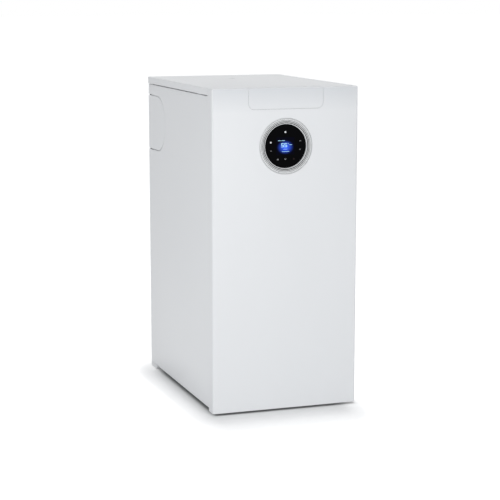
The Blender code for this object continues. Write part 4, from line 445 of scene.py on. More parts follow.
finishes = {
    "powderWhite": {
        "colour": (0.84, 0.85, 0.865), "shade": (0.825, 0.838, 0.855), "rough": (0.34, 0.42),
        "grain": (1400.0, 0.00002), "driftScale": 2.0, "dust": 0.03,
    },
    # the front's white paint, with a painted shade that greys the top of the front
    "frontWhite": {
        "colour": (0.84, 0.85, 0.865), "shade": (0.825, 0.838, 0.855), "rough": (0.34, 0.42),
        "grain": (1400.0, 0.00002), "driftScale": 2.0, "dust": 0.03,
        "specular": 0.3, "fade": (0.786, 0.85, (0.715, 0.735, 0.76)),
    },
    "mouldedWhite": {
        "colour": (0.83, 0.84, 0.85), "shade": (0.8, 0.81, 0.82), "rough": (0.4, 0.52),
        "grain": (2600.0, 0.00003), "driftScale": 20.0,
    },
    "plugWhite": {
        "colour": (0.6, 0.61, 0.62), "shade": (0.57, 0.58, 0.59), "rough": (0.4, 0.52),
        "grain": (2600.0, 0.00003), "driftScale": 20.0,
    },
    "mouldedGrey": {
        "colour": (0.165, 0.172, 0.18), "shade": (0.14, 0.147, 0.155), "rough": (0.48, 0.62),
        "grain": (2200.0, 0.00006), "driftScale": 12.0, "edge": (0.3, 0.31, 0.32), "dust": 0.25,
    },
    "mouldedBlack": {
        "colour": (0.022, 0.022, 0.025), "shade": (0.032, 0.032, 0.035), "rough": (0.42, 0.58),
        "grain": (2400.0, 0.00005), "driftScale": 15.0, "edge": (0.1, 0.1, 0.105), "dust": 0.2,
    },
    # painted shade for the deep grooves of the display ring
    "paintedGrooveShade": {
        "colour": (0.022, 0.022, 0.025), "shade": (0.035, 0.035, 0.038), "rough": (0.6, 0.7),
        "grain": (2400.0, 0.00003), "driftScale": 15.0,
    },
    "panelGlass": {
        "colour": (0.0012, 0.0012, 0.0016), "shade": (0.0016, 0.0016, 0.0022), "rough": (0.03, 0.05),
        "grain": (300.0, 0.000002), "driftScale": 18.0, "specular": 0.03,
    },
    "zincSheet": {
        "colour": (0.6, 0.62, 0.64), "shade": (0.47, 0.49, 0.52), "rough": (0.3, 0.46), "metal": 0.85,
        "grain": (160.0, 0.00002), "driftScale": 30.0, "speck": ((0.72, 0.74, 0.76), 0.55),
        "dust": 0.15,
    },
    "castAlloy": {
        "colour": (0.56, 0.57, 0.58), "shade": (0.46, 0.47, 0.48), "rough": (0.46, 0.62), "metal": 0.8,
        "grain": (700.0, 0.0003), "driftScale": 12.0, "speck": ((0.34, 0.35, 0.36), 0.5),
        "edge": (0.78, 0.79, 0.8), "dust": 0.25,
    },
    "brushedSteel": {
        "colour": (0.64, 0.65, 0.66), "shade": (0.56, 0.57, 0.58), "rough": (0.22, 0.36), "metal": 1.0,
        "grain": (900.0, 0.00004), "stretch": (0.08, 1, 1), "driftScale": 15.0,
    },
    "machinedBrass": {
        "colour": (0.74, 0.56, 0.26), "shade": (0.6, 0.43, 0.19), "rough": (0.24, 0.38), "metal": 1.0,
        "grain": (1200.0, 0.00004), "stretch": (1, 1, 0.2), "driftScale": 30.0, "edge": (0.9, 0.76, 0.48),
    },
    "drawnCopper": {
        "colour": (0.8, 0.44, 0.29), "shade": (0.55, 0.27, 0.17), "rough": (0.22, 0.42), "metal": 1.0,
        "grain": (500.0, 0.00003), "driftScale": 22.0,
    },
    "blackRubber": {
        "colour": (0.028, 0.028, 0.028), "shade": (0.045, 0.045, 0.045), "rough": (0.68, 0.85),
        "grain": (1600.0, 0.0001), "driftScale": 25.0, "dust": 0.3,
    },
    "boardGreen": {
        "colour": (0.016, 0.13, 0.06), "shade": (0.03, 0.19, 0.09), "rough": (0.3, 0.42),
        "grain": (350.0, 0.00002), "driftScale": 90.0, "speck": ((0.22, 0.32, 0.12), 0.35),
    },
    "glazedCeramic": {
        "colour": (0.82, 0.79, 0.72), "shade": (0.76, 0.72, 0.64), "rough": (0.18, 0.3),
        "grain": (600.0, 0.00003), "driftScale": 40.0,
    },
    "gasketFibre": {
        "colour": (0.74, 0.72, 0.66), "shade": (0.6, 0.58, 0.52), "rough": (0.85, 0.95),
        "grain": (900.0, 0.0004), "stretch": (1, 0.3, 1), "driftScale": 40.0,
    },
    "safetyYellow": {
        "colour": (0.78, 0.56, 0.03), "shade": (0.7, 0.49, 0.03), "rough": (0.3, 0.42),
        "grain": (900.0, 0.00004), "driftScale": 60.0, "edge": (0.62, 0.6, 0.55),
    },
}
finish = {name: makeFinish(name, look) for name, look in finishes.items()}
slotFinish = {
    "white_paint": "powderWhite", "white_plastic": "mouldedWhite", "grey_plastic": "mouldedGrey",
    "black_plastic": "mouldedBlack", "black_glass": "panelGlass", "galvanised": "zincSheet",
    "cast_alloy": "castAlloy", "steel": "brushedSteel", "brass": "machinedBrass", "copper": "drawnCopper",
    "rubber": "blackRubber", "green_board": "boardGreen", "ceramic": "glazedCeramic",
    "fibre": "gasketFibre", "yellow_paint": "safetyYellow",
}
slotOf = {look: slot for slot, look in slotFinish.items()}
slotOf.update(frontWhite="white_paint", plugWhite="white_plastic")
for row in frame["record"]["subparts"]:
    node = frame["nodes"][row["node"]]
    if not node.material_slots:
        node.data.materials.append(None)
    node.material_slots[0].material = finish[slotFinish[row["material_slot"]]]
print("finishes made and given to the CAD nodes")


# Front panel and its flap
front = {
    "halfWidth": 0.2, "face": -0.3, "seam": -0.266, "low": 0.006, "top": 0.85, "sheet": 0.0012,
    "corner": 0.006, "cornerSteps": 6, "arris": 0.0018, "arrisSteps": 3, "topArris": 0.004, "topSteps": 5,
    "apertureRadius": 0.0726, "displayHeight": 0.699,
}
flap = {
    "halfWidth": 0.101, "height": 0.0545, "corner": 0.0145, "gap": 0.001, "edge": -0.2755, "strip": -0.2715,
    "hingeY": -0.2745, "hingeZ": 0.8474, "eyeRadius": 0.0026, "rodRadius": 0.0015, "eyeX": 0.07,
    "eyeWidth": 0.012, "earWidth": 0.006, "notch": 0.0057, "line": 0.0005,
}


def makeFrontSkin(name):
    # folded sheet, rounded at its uprights and softened round its rims
    half = front["halfWidth"]
    skin = addBox(name, (-half, front["face"], front["low"]), (half, front["seam"], front["top"]))
    middle = (front["face"] + front["seam"]) / 2

    def isUpright(edge):
        ends = edge.verts
        return all(v.co.y < middle for v in ends) and ends[0].co.x * ends[1].co.x > 0

    def isRim(edge, high):
        ends = edge.verts
        level = abs(ends[0].co.z - ends[1].co.z) < 1e-6 and (ends[0].co.z > front["displayHeight"]) == high
        rear = all(v.co.y > front["seam"] - 1e-4 for v in ends)
        return level and not rear and edge.calc_face_angle(0) > 1

    bevelSome(skin, isUpright, front["corner"], front["cornerSteps"])
    bevelSome(skin, lambda edge: isRim(edge, False), front["arris"], front["arrisSteps"])
    bevelSome(skin, lambda edge: isRim(edge, True), front["topArris"], front["topSteps"])
    dropFaces(skin, lambda face: face.normal.y > 0.9)
    return thicken(skin, front["sheet"])


def flapOutline(gap):
    half = flap["halfWidth"] + gap
    low = front["top"] - flap["height"] - gap
    high = front["top"] + 0.004
    corner = flap["corner"] + gap
    left = arcOf((-half + corner, low + corner), corner, 180, 270, 12)
    right = arcOf((half - corner, low + corner), corner, 270, 360, 12)
    return [(-half, high), *left, *right, (half, high)]


def makeFrontPanel():
    skin = makeFrontSkin("frontShell")
    hole = turned(
        "hole", (0, front["face"] - 0.01, front["displayHeight"]), plusY,
        [(front["apertureRadius"], 0), (front["apertureRadius"], 0.02)], 128,
    )
    carve(skin, hole, plateOf("zone", flapOutline(flap["gap"]), 1, -0.31, flap["strip"]))
    parts = []
    wall, bore = flap["eyeRadius"], flap["rodRadius"]
    for hand in (-1, 1):
        outer = hand * flap["halfWidth"]
        low, high = sorted((outer - hand * flap["earWidth"], outer))
        parts.append(turned(
            "ear", (low, flap["hingeY"], flap["hingeZ"]), plusX,
            [(wall, 0), (wall, high - low), (bore, high - low), (bore, 0)], 24, ring=True,
        ))
        parts.append(softBox(
            "arm", (low, flap["hingeY"] + bore, flap["hingeZ"] + 0.0001),
            (high, flap["strip"] + front["sheet"], front["top"] - 0.0006), 0.0003, 2,
        ))
        for level in (0.08, 0.8):
            # ball stud: collar, neck and ball
            start = (hand * 0.19, front["face"] + front["sheet"], level)
            stem = mm((7.5, 0), (7.5, 1.2), (4, 1.6), (4, 13), (2.6, 14.2))
            ball = mm((2.6, 15.2), (3.7, 16.2), (4, 17.4), (3.5, 18.3), (2, 18.8))
            parts.append(turned("stud", start, plusY, stem + ball, 24))
    return welded(skin, *parts)


def makeFlap():
    leaf = makeFrontSkin("liftFlap")
    zone = plateOf("zone", flapOutline(flap["gap"] - flap["line"]), 1, -0.31, flap["edge"])
    carve(leaf, zone, operation="INTERSECT")
    notches = []
    for hand in (-1, 1):
        inner = flap["halfWidth"] - flap["earWidth"] - flap["gap"] / 2
        low, high = sorted((hand * inner, hand * (flap["halfWidth"] + 0.004)))
        notches.append(turned(
            "notch", (low, flap["hingeY"], flap["hingeZ"]), plusX,
            [(flap["notch"], 0), (flap["notch"], high - low)], 24,
        ))
    carve(leaf, *notches)
    eyes = []
    wall, bore, width = flap["eyeRadius"], flap["rodRadius"], flap["eyeWidth"]
    for hand in (-1, 1):
        low = hand * flap["eyeX"] - width / 2
        eyes.append(turned(
            "eye", (low, flap["hingeY"], flap["hingeZ"]), plusX,
            [(wall, 0), (wall, width), (bore, width), (bore, 0)], 24, ring=True,
        ))
        eyes.append(softBox(
            "tongue", (low, flap["hingeY"] - 0.0052, front["top"] - 0.0013),
            (low + width, flap["hingeY"] - 0.0006, front["top"] - 0.0002), 0.0002, 2,
        ))
    return welded(leaf, *eyes)


dress(makeFrontPanel(), "frontWhite", "front_panel", "front_panel")
dress(makeFlap(), "frontWhite", "access_flap", "flap")
rod = turned(
    "flapHingePin", (-0.1007, flap["hingeY"], flap["hingeZ"]), plusX,
    mm((0.8, 0), (1.2, 0.4), (1.2, 201), (0.8, 201.4)), 20,
)
dress(rod, "brushedSteel", "flap_hinge_rod", "front_panel")
print("front panel and flap")


# Lid
lid = {
    "halfWidth": 0.2, "front": -0.2654, "rear": 0.3, "skirt": 0.8315, "top": 0.85, "lip": 0.842,
    "plugY": 0.133, "plugRadius": 0.008, "sheet": 0.0012,
}


def makeLid():
    half, top = lid["halfWidth"], lid["top"]
    shell = addBox("liftOffLid", (-half, lid["front"], lid["skirt"]), (half, lid["rear"], top))

    def isUpright(edge):
        ends = edge.verts
        return all(v.co.y > 0 for v in ends) and ends[0].co.x * ends[1].co.x > 0

    def isRim(edge):
        ends = edge.verts
        atTop = all(v.co.z > top - 1e-5 for v in ends)
        atFront = all(v.co.y < lid["front"] + 1e-5 for v in ends)
        return atTop and not atFront

    bevelSome(shell, isUpright, front["corner"], front["cornerSteps"])
    bevelSome(shell, isRim, front["arris"], front["arrisSteps"])
    dropFaces(shell, lambda face: face.normal.z < -0.9 or face.normal.y < -0.9)
    thicken(shell, lid["sheet"])
    bore = lid["plugRadius"]
    carve(shell, turned("hole", (0, lid["plugY"], top - 0.01), plusZ, [(bore, 0), (bore, 0.02)], 64))
    corner = (0.006 - half, lid["front"], lid["lip"])
    lip = softBox("lip", corner, (half - 0.006, lid["front"] + lid["sheet"], top - 0.0013), 0.0004, 2)
    return welded(shell, lip)


dress(makeLid(), "powderWhite", "lid", "lid")
plug = turned(
    "lidPlugCap", (0, lid["plugY"], 0), plusZ,
    mm((11, 847.3), (11, 848.5), (7.7, 848.5), (7.7, 849.4), (7.2, 849.9), (4.5, 850), (4, 849.6), (2, 849.6)), 48,
)
dress(plug, "plugWhite", "lid_plug", "lid")
print("lid")


# Side panels and flue covers
side = {
    "outer": 0.1975, "sheet": 0.0012, "front": -0.285, "rear": 0.3, "low": 0.013, "top": 0.8295,
    "flange": 0.015, "fold": 0.0016, "coverY": 0.209, "coverZ": 0.722, "coverRadius": 0.076, "gap": 0.0016,
    "lap": 0.008, "lapDepth": 0.004, "endGap": 0.003, "endLength": 0.048,
}


def coverOutline(extra, rear):
    radius = side["coverRadius"] + extra
    nose = arcOf((side["coverY"], side["coverZ"]), radius, 270, 90, 48)
    return [(rear, side["coverZ"] - radius), *nose, (rear, side["coverZ"] + radius)]


def makeSidePanel(name, hand):
    inner = side["outer"] - side["flange"]
    panel = addBox(
        name, (hand * inner, side["front"], side["low"]), (hand * side["outer"], side["rear"], side["top"])
    )
    bevelSome(panel, lambda edge: all(v.co.x * hand > side["outer"] - 1e-5 for v in edge.verts), side["fold"], 3)
    dropFaces(panel, lambda face: face.normal.x * hand < -0.9)
    thicken(panel, side["sheet"])
    across = (hand * 0.17, hand * 0.21)
    reach = side["coverRadius"] + side["endGap"]
    cutters = [plateOf("slot", coverOutline(side["gap"], 0.31), 0, *across), addBox(
        "end", (across[0], side["rear"] - side["endLength"], side["coverZ"] - reach),
        (across[1], 0.31, side["coverZ"] + reach),
    )]
    for level in (0.08, 0.8):
        cutters.append(turned(
            "hole", (hand * 0.19, side["front"] - 0.01, level), plusY, [(0.0043, 0), (0.0043, 0.013)], 24,
        ))
    return tidyMesh(carve(panel, *cutters), 30)


def makeFlueCover(name, hand):
    outer, middle, radius = side["outer"], side["coverZ"], side["coverRadius"] - 0.004
    inner = outer - side["sheet"] - side["lapDepth"]
    lipRear = 0.2955
    skin = plateOf(name, coverOutline(0, 0.2994), 0, hand * outer, hand * (outer - side["sheet"]))
    soften(skin, 0.0004, 2)
    lip = plateOf("lip", coverOutline(side["lap"], lipRear), 0, hand * inner, hand * (inner - side["sheet"]))
    webEnds = hand * (inner - 0.0006), hand * (outer - 0.0006)
    web = plateOf("web", coverOutline(-side["lap"], lipRear - 0.008), 0, *webEnds)
    corner = (hand * (outer - side["flange"]), 0.2988, middle - radius)
    fold = softBox("fold", corner, (hand * (outer - 0.0006), side["rear"], middle + radius), 0.0003, 2)
    return welded(skin, soften(lip, 0.0003, 2), web, fold)


for word, hand in (("left", -1), ("right", 1)):
    panel = makeSidePanel(f"{word}SideSheet", hand)
    dress(panel, "powderWhite", f"{word}_side_panel")
    cover = makeFlueCover(f"{word}CoverPlate", hand)
    dress(cover, "powderWhite", f"{word}_flue_cover")
print("sides and flue covers")


# Display: ribbed ring, black glass, lit screen and touch marks
display = {
    "height": 0.699, "face": -0.3, "rear": -0.2868, "ringRadius": 0.072, "innerRadius": 0.057,
    "ribPitch": 0.0037, "grooves": (0.0025, 0.002, 0.0013, 0.0008), "grooveDepth": 0.0026,
    "glassFace": -0.295, "glassRadius": 0.0567, "glassThickness": 0.003, "inkThickness": 0.00012,
    "screenHalfWidth": 0.025, "screenHalfHeight": 0.0225,
}


def makeDisplayRing():
    # turned about the display's axis; along runs from the rear to the face
    z, depth = display["height"], display["face"] - display["rear"]
    outer, inner = display["ringRadius"], display["innerRadius"]
    deep = -depth
    profile = [(inner, 0.0021), (inner, deep - 0.0012), (inner + 0.0004, deep - 0.0003), (inner + 0.0011, deep)]
    reach = inner + 0.0011
    for width in display["grooves"]:
        start = reach + 0.0004
        profile += [(start, deep), (start + 0.0003, deep - 0.0003), (start + 0.0003, deep - display["grooveDepth"])]
        end = start + width
        profile += [(end, deep - display["grooveDepth"]), (end, deep - 0.0003), (end + 0.0003, deep)]
        reach = start + display["ribPitch"] - 0.0004
    profile += [(outer - 0.0012, deep), (outer - 0.0003, deep - 0.0004), (outer, deep - 0.0013)]
    profile += [(outer, 0), (outer - 0.0045, 0), (outer - 0.0045, 0.0021)]
    ringPiece = turned("displayRing", (0, display["rear"], z), minusY, profile, 160, ring=True)
    dress(ringPiece, "mouldedWhite", "display_bezel")
    # painted shade: the walls and floors of the grooves, deeper than 0.6 mm below the face, take a near-black
    # finish for the shade that lies in them
    ringPiece.data.materials.append(finish["paintedGrooveShade"])
    grooveY = display["face"] + 0.0006
    for face in ringPiece.data.polygons:
        middle = face.center
        radius = math.hypot(middle.x, middle.z - z)
        if grooveY < middle.y < display["rear"] - 0.004 and inner + 0.001 < radius < outer - 0.001:
            face.material_index = 1
    back = turned(
        "displaySeat", (0, display["rear"], z), minusY,
        [(outer - 0.0008, 0.0002), (outer - 0.0008, 0.002), (0.046, 0.002), (0.046, 0.0002)], 96, ring=True,
    )
    dress(back, "mouldedWhite")


def makeDisplayGlass():
    thick, radius = display["glassThickness"], display["glassRadius"]
    profile = [(radius, 0), (radius, thick - 0.0007), (radius - 0.0002, thick - 0.0003), (radius - 0.0007, thick)]
    profile.append((radius - 0.0014, thick))
    glass = turned(
        "displayGlassDisc", (0, display["glassFace"] + thick, display["height"]), minusY, profile, 128
    )
    dress(glass, "panelGlass", "display_glass")


def makeGlow(name, look):
    # a lit print, which fades from the display's middle to its edge colour where it has one
    made = bpy.data.materials.new(name)
    made.use_nodes = True
    tree = made.node_tree
    shader = tree.nodes["Principled BSDF"]
    shader.inputs["Base Color"].default_value = (0.0012, 0.0012, 0.0016, 1)
    shader.inputs["Roughness"].default_value = 0.04
    shader.inputs["Specular IOR Level"].default_value = 0.03
    shader.inputs["Emission Strength"].default_value = look["strength"]
    spot = addNode(tree, "TexCoord").outputs["Object"]
    place = addNode(tree, "Mapping", spot, (0, 0, 0.003 - display["height"]))
    flat = addNode(tree, "VectorMath", place.outputs[0], (1.0, 0.0, 1.25), operation="MULTIPLY").outputs[0]
    away = addNode(tree, "VectorMath", flat, operation="LENGTH").outputs["Value"]
    reach = look.get("reach", 0.025)
    fade = easedRange(tree, away, 0.0, reach, 0.0, 1.0)
    colour = mixColour(tree, fade, look["colour"], look.get("edge", look["colour"]))
    tree.links.new(colour, shader.inputs["Emission Color"])
    return made


glow = {
    "screenBlue": {"colour": (0.045, 0.13, 0.95), "strength": 1.1, "edge": (0.0, 0.0, 0.004), "reach": 0.0245},
    "digitIce": {"colour": (0.45, 0.8, 1.0), "strength": 1.0},
    "markWhite": {"colour": (0.8, 0.82, 0.84), "strength": 1.0},
    "markGrey": {"colour": (0.62, 0.63, 0.65), "strength": 0.7},
    "markDim": {"colour": (0.4, 0.4, 0.42), "strength": 0.75},
    "markOff": {"colour": (0.16, 0.1, 0.1), "strength": 0.3},
}
for name, look in glow.items():
    finish[name] = makeGlow(name, look)


def inkPlate(name, x, z, width, height, lift=1.0, corner=0.0003):
    # a thin printed bar on the glass, placed from the display's centre
    face = display["glassFace"]
    low = (x - width / 2, face - display["inkThickness"] * lift, display["height"] + z - height / 2)
    high = (x + width / 2, face - 0.00001, display["height"] + z + height / 2)
    bar = addBox(name, low, high)
    reach = min(corner, width * 0.4, height * 0.4)
    return bevelSome(bar, runsAlong(1), reach, 3)


def inkRing(name, x, z, radius, width, sides=32):
    face = display["glassFace"] - 0.00001
    thick = display["inkThickness"] * 2
    profile = [(radius, 0), (radius, thick), (radius - width, thick), (radius - width, 0)]
    return turned(name, (x, face, display["height"] + z), minusY, profile, sides, ring=True)


def inkDot(name, x, z, radius):
    face = display["glassFace"] - 0.00001
    profile = [(radius, 0), (radius, display["inkThickness"] * 2)]
    return turned(name, (x, face, display["height"] + z), minusY, profile, 24)


def inkLine(name, start, end, width):
    # a bar between two points, turned about its own middle
    first, last = Vector(start), Vector(end)
    middle = (first + last) / 2
    span = last - first
    bar = inkPlate(name, middle.x, middle.y, span.length + width, width, 2.0, width / 2)
    pick(bar)
    centre = (middle.x, display["glassFace"], display["height"] + middle.y)
    bpy.ops.object.mode_set(mode="EDIT")
    bpy.ops.mesh.select_all(action="SELECT")
    bpy.ops.transform.rotate(value=math.atan2(span.y, span.x), orient_axis="Y", center_override=centre)
    bpy.ops.object.mode_set(mode="OBJECT")
    return bar


def inkChevron(name, points, width):
    return [inkLine(name, start, end, width) for start, end in zip(points, points[1:])]


def inkBars(name, *rows):
    # each row is x, z, width and height
    return [inkPlate(name, *row, 2.0) for row in rows]


figure = {"z": 0.0024, "width": 0.0074, "height": 0.0104, "stroke": 0.0018}
# the bars of a five, as steps across and up from its middle
figureBars = ((0, 1), (-1, 0.5), (0, 0), (1, -0.5), (0, -1))


def makeFive(x):
    bars = []
    width, height, stroke = figure["width"], figure["height"], figure["stroke"]
    for across, up in figureBars:
        middle = x + across * (width - stroke) / 2, figure["z"] + up * (height - stroke) / 2
        size = (stroke, height / 2) if across else (width, stroke)
        bars += inkBars("bar", (*middle, *size))
    return bars


def finishInk(name, pieces, look):
    piece = tidyMesh(fuse(*pieces))
    piece.name = name
    dress(piece, look)


def makeDisplayPrint():
    halfWidth, halfHeight = display["screenHalfWidth"], display["screenHalfHeight"]
    screen = inkPlate("screen", 0, 0, 2 * halfWidth, 2 * halfHeight, 1.0, 0.0015)
    finishInk("displayScreen", [screen], "screenBlue")
    figures = makeFive(-0.0078) + makeFive(0.0011)
    figures.append(inkRing("degree", 0.0078, 0.0064, 0.0014, 0.0006))
    figures += inkBars("unit", (0.0145, 0.0032, 0.0075, 0.0012))
    finishInk("displayFigures", figures, "digitIce")
    lines = inkBars(
        "line", (-0.0165, 0.0142, 0.0075, 0.0013), (-0.006, 0.0142, 0.0095, 0.0013),
        (0.0005, -0.0142, 0.02, 0.001), (0.0, -0.008, 0.011, 0.0008),
    )
    finishInk("displayLines", lines, "digitIce")
    # touch marks: rings with dots above and at the left, a chevron and list bars below,
    # two chevrons at the right, a bar at the left and a ring at the lower right
    marks = [inkRing("home", 0, 0.036, 0.0024, 0.001), inkDot("home", 0, 0.036, 0.0011)]
    marks += [inkRing("info", -0.0399, 0.0101, 0.0023, 0.001), inkDot("info", -0.0399, 0.0101, 0.001)]
    finishInk("touchMarks", marks, "markWhite")
    marks = inkChevron("down", ((-0.002, -0.033), (0.0, -0.0348), (0.002, -0.033)), 0.0009)
    marks += inkBars("list", (-0.0205, -0.0333, 0.0048, 0.0009), (-0.0205, -0.0351, 0.0048, 0.0009))
    finishInk("lowTouchMarks", marks, "markGrey")
    faint = inkChevron("up", ((0.0385, 0.0112), (0.0407, 0.0134), (0.0429, 0.0112)), 0.0008)
    faint += inkChevron("low", ((0.0385, -0.0086), (0.0404, -0.0106), (0.0423, -0.0086)), 0.0008)
    faint += inkBars("back", (-0.0393, -0.0117, 0.0046, 0.001))
    finishInk("powerMark", [inkRing("power", 0.0233, -0.0338, 0.0018, 0.0006)], "markOff")
    finishInk("faintTouchMarks", faint, "markDim")


makeDisplayRing()
makeDisplayGlass()
makeDisplayPrint()
print("display")


# Small fittings shared by the inner pieces
def roundBar(name, start, direction, radius, length, sides=32, edge=0.0004):
    profile = [(radius - edge, 0), (radius, edge), (radius, length - edge), (radius - edge, length)]
    return turned(name, start, direction, profile, sides)


def tubeBar(name, start, direction, radius, bore, length, sides=40, edge=0.0003):
    profile = [
        (radius - edge, 0), (radius, edge), (radius, length - edge), (radius - edge, length),
        (bore + edge, length), (bore, length - edge), (bore, edge), (bore + edge, 0),
    ]
    return turned(name, start, direction, profile, sides, ring=True)


def hexBolt(name, place, direction, size=0.0045, height=0.0032):
    # washer and six sided head
    washer = roundBar(name, place, direction, size * 1.35, 0.0008, 28, 0.0002)
    start = Vector(place) + Vector(direction) * 0.0008
    profile = [(size, 0), (size, height * 0.8), (size * 0.86, height), (size * 0.55, height)]
    profile.append((size * 0.5, height * 0.85))
    return fuse(washer, turned("head", start, direction, profile, 6))


def hexNut(name, place, direction, size, bore, height):
    profile = [
        (size * 0.88, 0), (size, height * 0.12), (size, height * 0.88), (size * 0.88, height),
        (bore + 0.0004, height), (bore, height - 0.0004), (bore, 0.0004), (bore + 0.0004, 0),
    ]
    return turned(name, place, direction, profile, 6, ring=True)


def panScrew(name, place, direction, size=0.0036):
    # domed head with a crossed recess
    head = turned(
        name, place, direction,
        [(size, 0), (size, 0.0005), (size * 0.93, 0.0012), (size * 0.72, 0.0018), (size * 0.35, 0.0021)], 28,
    )
    axis = Vector(direction)
    top = Vector(place) + axis * 0.0021
    across = Vector(plusZ) if abs(axis.z) < 0.5 else Vector(plusX)
    for line in (across, axis.cross(across)):
        half = line * size * 0.5 + axis * 0.0009 + axis.cross(line) * size * 0.09
        carve(head, addBox("cross", top - half, top + half))
    return head


def spread(piece, name, shifts):
    # one model, copied to the other places and joined
    copies = [copyTo(piece, name, shift) for shift in shifts]
    return fuse(piece, *copies) if copies else piece


def ringOf(make, name, centre, radius, count, turn=0.0, axis=1):
    # one fitting repeated on a circle about the X, Y or Z axis
    first, second = [place for place in (0, 1, 2) if place != axis]
    made = None
    start = None
    copies = []
    for number in range(count):
        angle = math.radians(turn) + 2 * math.pi * number / count
        place = list(centre)
        place[first] += radius * math.cos(angle)
        place[second] += radius * math.sin(angle)
        if made is None:
            made = make(name, place)
            start = Vector(place)
        else:
            copies.append(copyTo(made, name, Vector(place) - start))
    return fuse(made, *copies)


def pegMaker(axis, half, low, high, edge, segments=2):
    # for ringOf: a small square peg along an axis
    def makePeg(name, place):
        first, second = [spot - half for spot in place], [spot + half for spot in place]
        first[axis], second[axis] = low, high
        return softBox(name, first, second, edge, segments)

    return makePeg


def openPan(name, low, high, axis, sign, wall, fold=0.0012):
    # folded sheet box with one side left open
    pan = addBox(name, low, high)
    dropFaces(pan, lambda face: face.normal[axis] * sign > 0.9)
    bevelSome(pan, lambda edge: len(edge.link_faces) == 2, fold, 2)
    return thicken(pan, wall)


# Base tray, glides, feet and rails
tray = {"halfWidth": 0.196, "front": -0.2835, "rear": 0.297, "low": 0.03, "top": 0.06, "sheet": 0.0012}
feet = {"x": 0.15, "y": -0.24, "radius": 0.02, "stem": 0.005, "top": 0.0562, "pitch": 0.00125}
glideShape = {
    "inner": 0.1502, "outer": 0.1972, "padEnd": 0.1822, "toe": 0.245, "heel": 0.2997, "sole": 0.0127,
    "heelRound": 0.01,
}


def makeTray():
    half, sheet = tray["halfWidth"], tray["sheet"]
    corner = (-half, tray["front"], tray["low"])
    pan = openPan("baseTrayPan", corner, (half, tray["rear"], tray["top"]), 2, 1, sheet)
    cutters = []
    for hand in (-1, 1):
        cutters.append(roundBar("hole", (hand * feet["x"], feet["y"], 0.025), plusZ, 0.0055, 0.012, 24))
        for y in (-0.16, 0.21):
            cutters.append(roundBar("hole", (hand * 0.115, y, 0.025), plusZ, 0.006, 0.012, 24))
    for x in (-0.11, 0.0, 0.11):
        start = (x - 0.03, tray["front"] - 0.004, 0.042)
        cutters.append(addBox("slot", start, (x + 0.03, tray["front"] + 0.004, 0.046)))
    carve(pan, *cutters)
    parts = []
    floorTop = tray["low"] + sheet
    for x in (-0.075, -0.025, 0.025, 0.075):
        start = (x - 0.005, -0.2, floorTop - 0.0004)
        parts.append(softBox("bead", start, (x + 0.005, 0.2, floorTop + 0.0016), 0.0013, 3))
    for hand in (-1, 1):
        parts.append(hexNut("nut", (hand * feet["x"], feet["y"], floorTop - 0.0003), plusZ, 0.009, 0.0054, 0.009))
    return welded(pan, *parts)


def makeFoot(name, hand):
    # moulded pad, adjusting hexagon and a threaded stem
    radius, stem, top = feet["radius"], feet["stem"], feet["top"]
    profile = [(radius - 0.003, 0), (radius - 0.0015, 0.0002), (radius, 0.0018), (radius, 0.0046)]
    profile += [(radius - 0.0008, 0.0055), (0.0115, 0.0096), (0.0105, 0.01), (stem, 0.01)]
    height = 0.0245
    profile.append((stem - 0.0001, height))
    while height < top - 0.003:
        profile += [(stem - 0.0006, height + 0.0004), (stem - 0.0001, height + 0.001)]
        height += feet["pitch"]
    profile += [(stem - 0.0002, top - 0.0012), (stem - 0.0012, top)]
    x, y = hand * feet["x"], feet["y"]
    foot = turned(name, (x, y, 0), plusZ, profile, 36)
    lock = hexNut("lock", (x, y, 0.0145), plusZ, 0.0082, stem - 0.0004, 0.0045)
    grips = ringOf(pegMaker(2, 0.0012, 0.0012, 0.0044, 0.0004), "grip", (x, y, 0), radius - 0.0011, 18, 0, 2)
    return welded(foot, lock, grips)


def makeGlide(name, hand):
    inner, padEnd, toe, heel = [glideShape[key] for key in ("inner", "padEnd", "toe", "heel")]
    sole, corner = glideShape["sole"], glideShape["heelRound"]
    start = arcOf((toe + 0.005, 0.005), 0.005, 180, 270, 8)
    outline = [(toe, sole), *start, *arcOf((heel - corner, corner), corner, 270, 360, 12), (heel, sole)]
    glide = soften(plateOf(name, outline, 0, hand * inner, hand * glideShape["outer"]), 0.0008, 3)
    pad = addBox("pad", (hand * inner, toe + 0.005, sole - 0.0006), (hand * padEnd, 0.2925, 0.0297))
    dropFaces(pad, lambda face: face.normal.z > 0.9)
    thicken(pad, 0.0024)
    ribs = []
    for y in (0.2615, 0.2795):
        start = (hand * (inner + 0.001), y - 0.001, sole)
        ribs.append(softBox("rib", start, (hand * (padEnd - 0.001), y + 0.001, 0.0285), 0.0003, 2))
    grooves = []
    for x in (0.16, 0.17, 0.18, 0.19):
        start = (hand * x - 0.0011, toe - 0.001, -0.001)
        grooves.append(addBox("groove", start, (hand * x + 0.0011, heel - corner, 0.001)))
    carve(glide, *grooves)
    return welded(glide, soften(pad, 0.0004, 2), *ribs)


def makeRail(name, low, high):
    rail = openPan(name, (-0.1963, low, 0.8298), (0.1963, high, 0.8485), 2, -1, 0.0012)
    middle = (low + high) / 2
    cutters = []
    for x in (-0.15, -0.075, 0.075, 0.15):
        cutters.append(roundBar("hole", (x, middle, 0.84), plusZ, 0.0045, 0.014, 24))
    slot = addBox("slot", (-0.03, middle - 0.005, 0.84), (0.03, middle + 0.005, 0.856))
    cutters.append(bevelSome(slot, runsAlong(2), 0.0049, 6))
    return tidyMesh(carve(rail, *cutters), 30)


dress(makeTray(), "zincSheet", "base_tray")
for word, hand in (("left", -1), ("right", 1)):
    foot = makeFoot(f"{word}FootScrew", hand)
    dress(foot, "blackRubber", f"levelling_foot_{word}", f"foot_{word}")
    glide = makeGlide(f"{word}HeelGlide", hand)
    dress(glide, "mouldedWhite", f"rear_glide_{word}")
dress(makeRail("frontCrossRail", -0.2, -0.17), "zincSheet", "top_front_rail")
dress(makeRail("rearCrossRail", 0.262, 0.292), "zincSheet", "top_rear_rail")
print("base tray, feet, glides and rails")


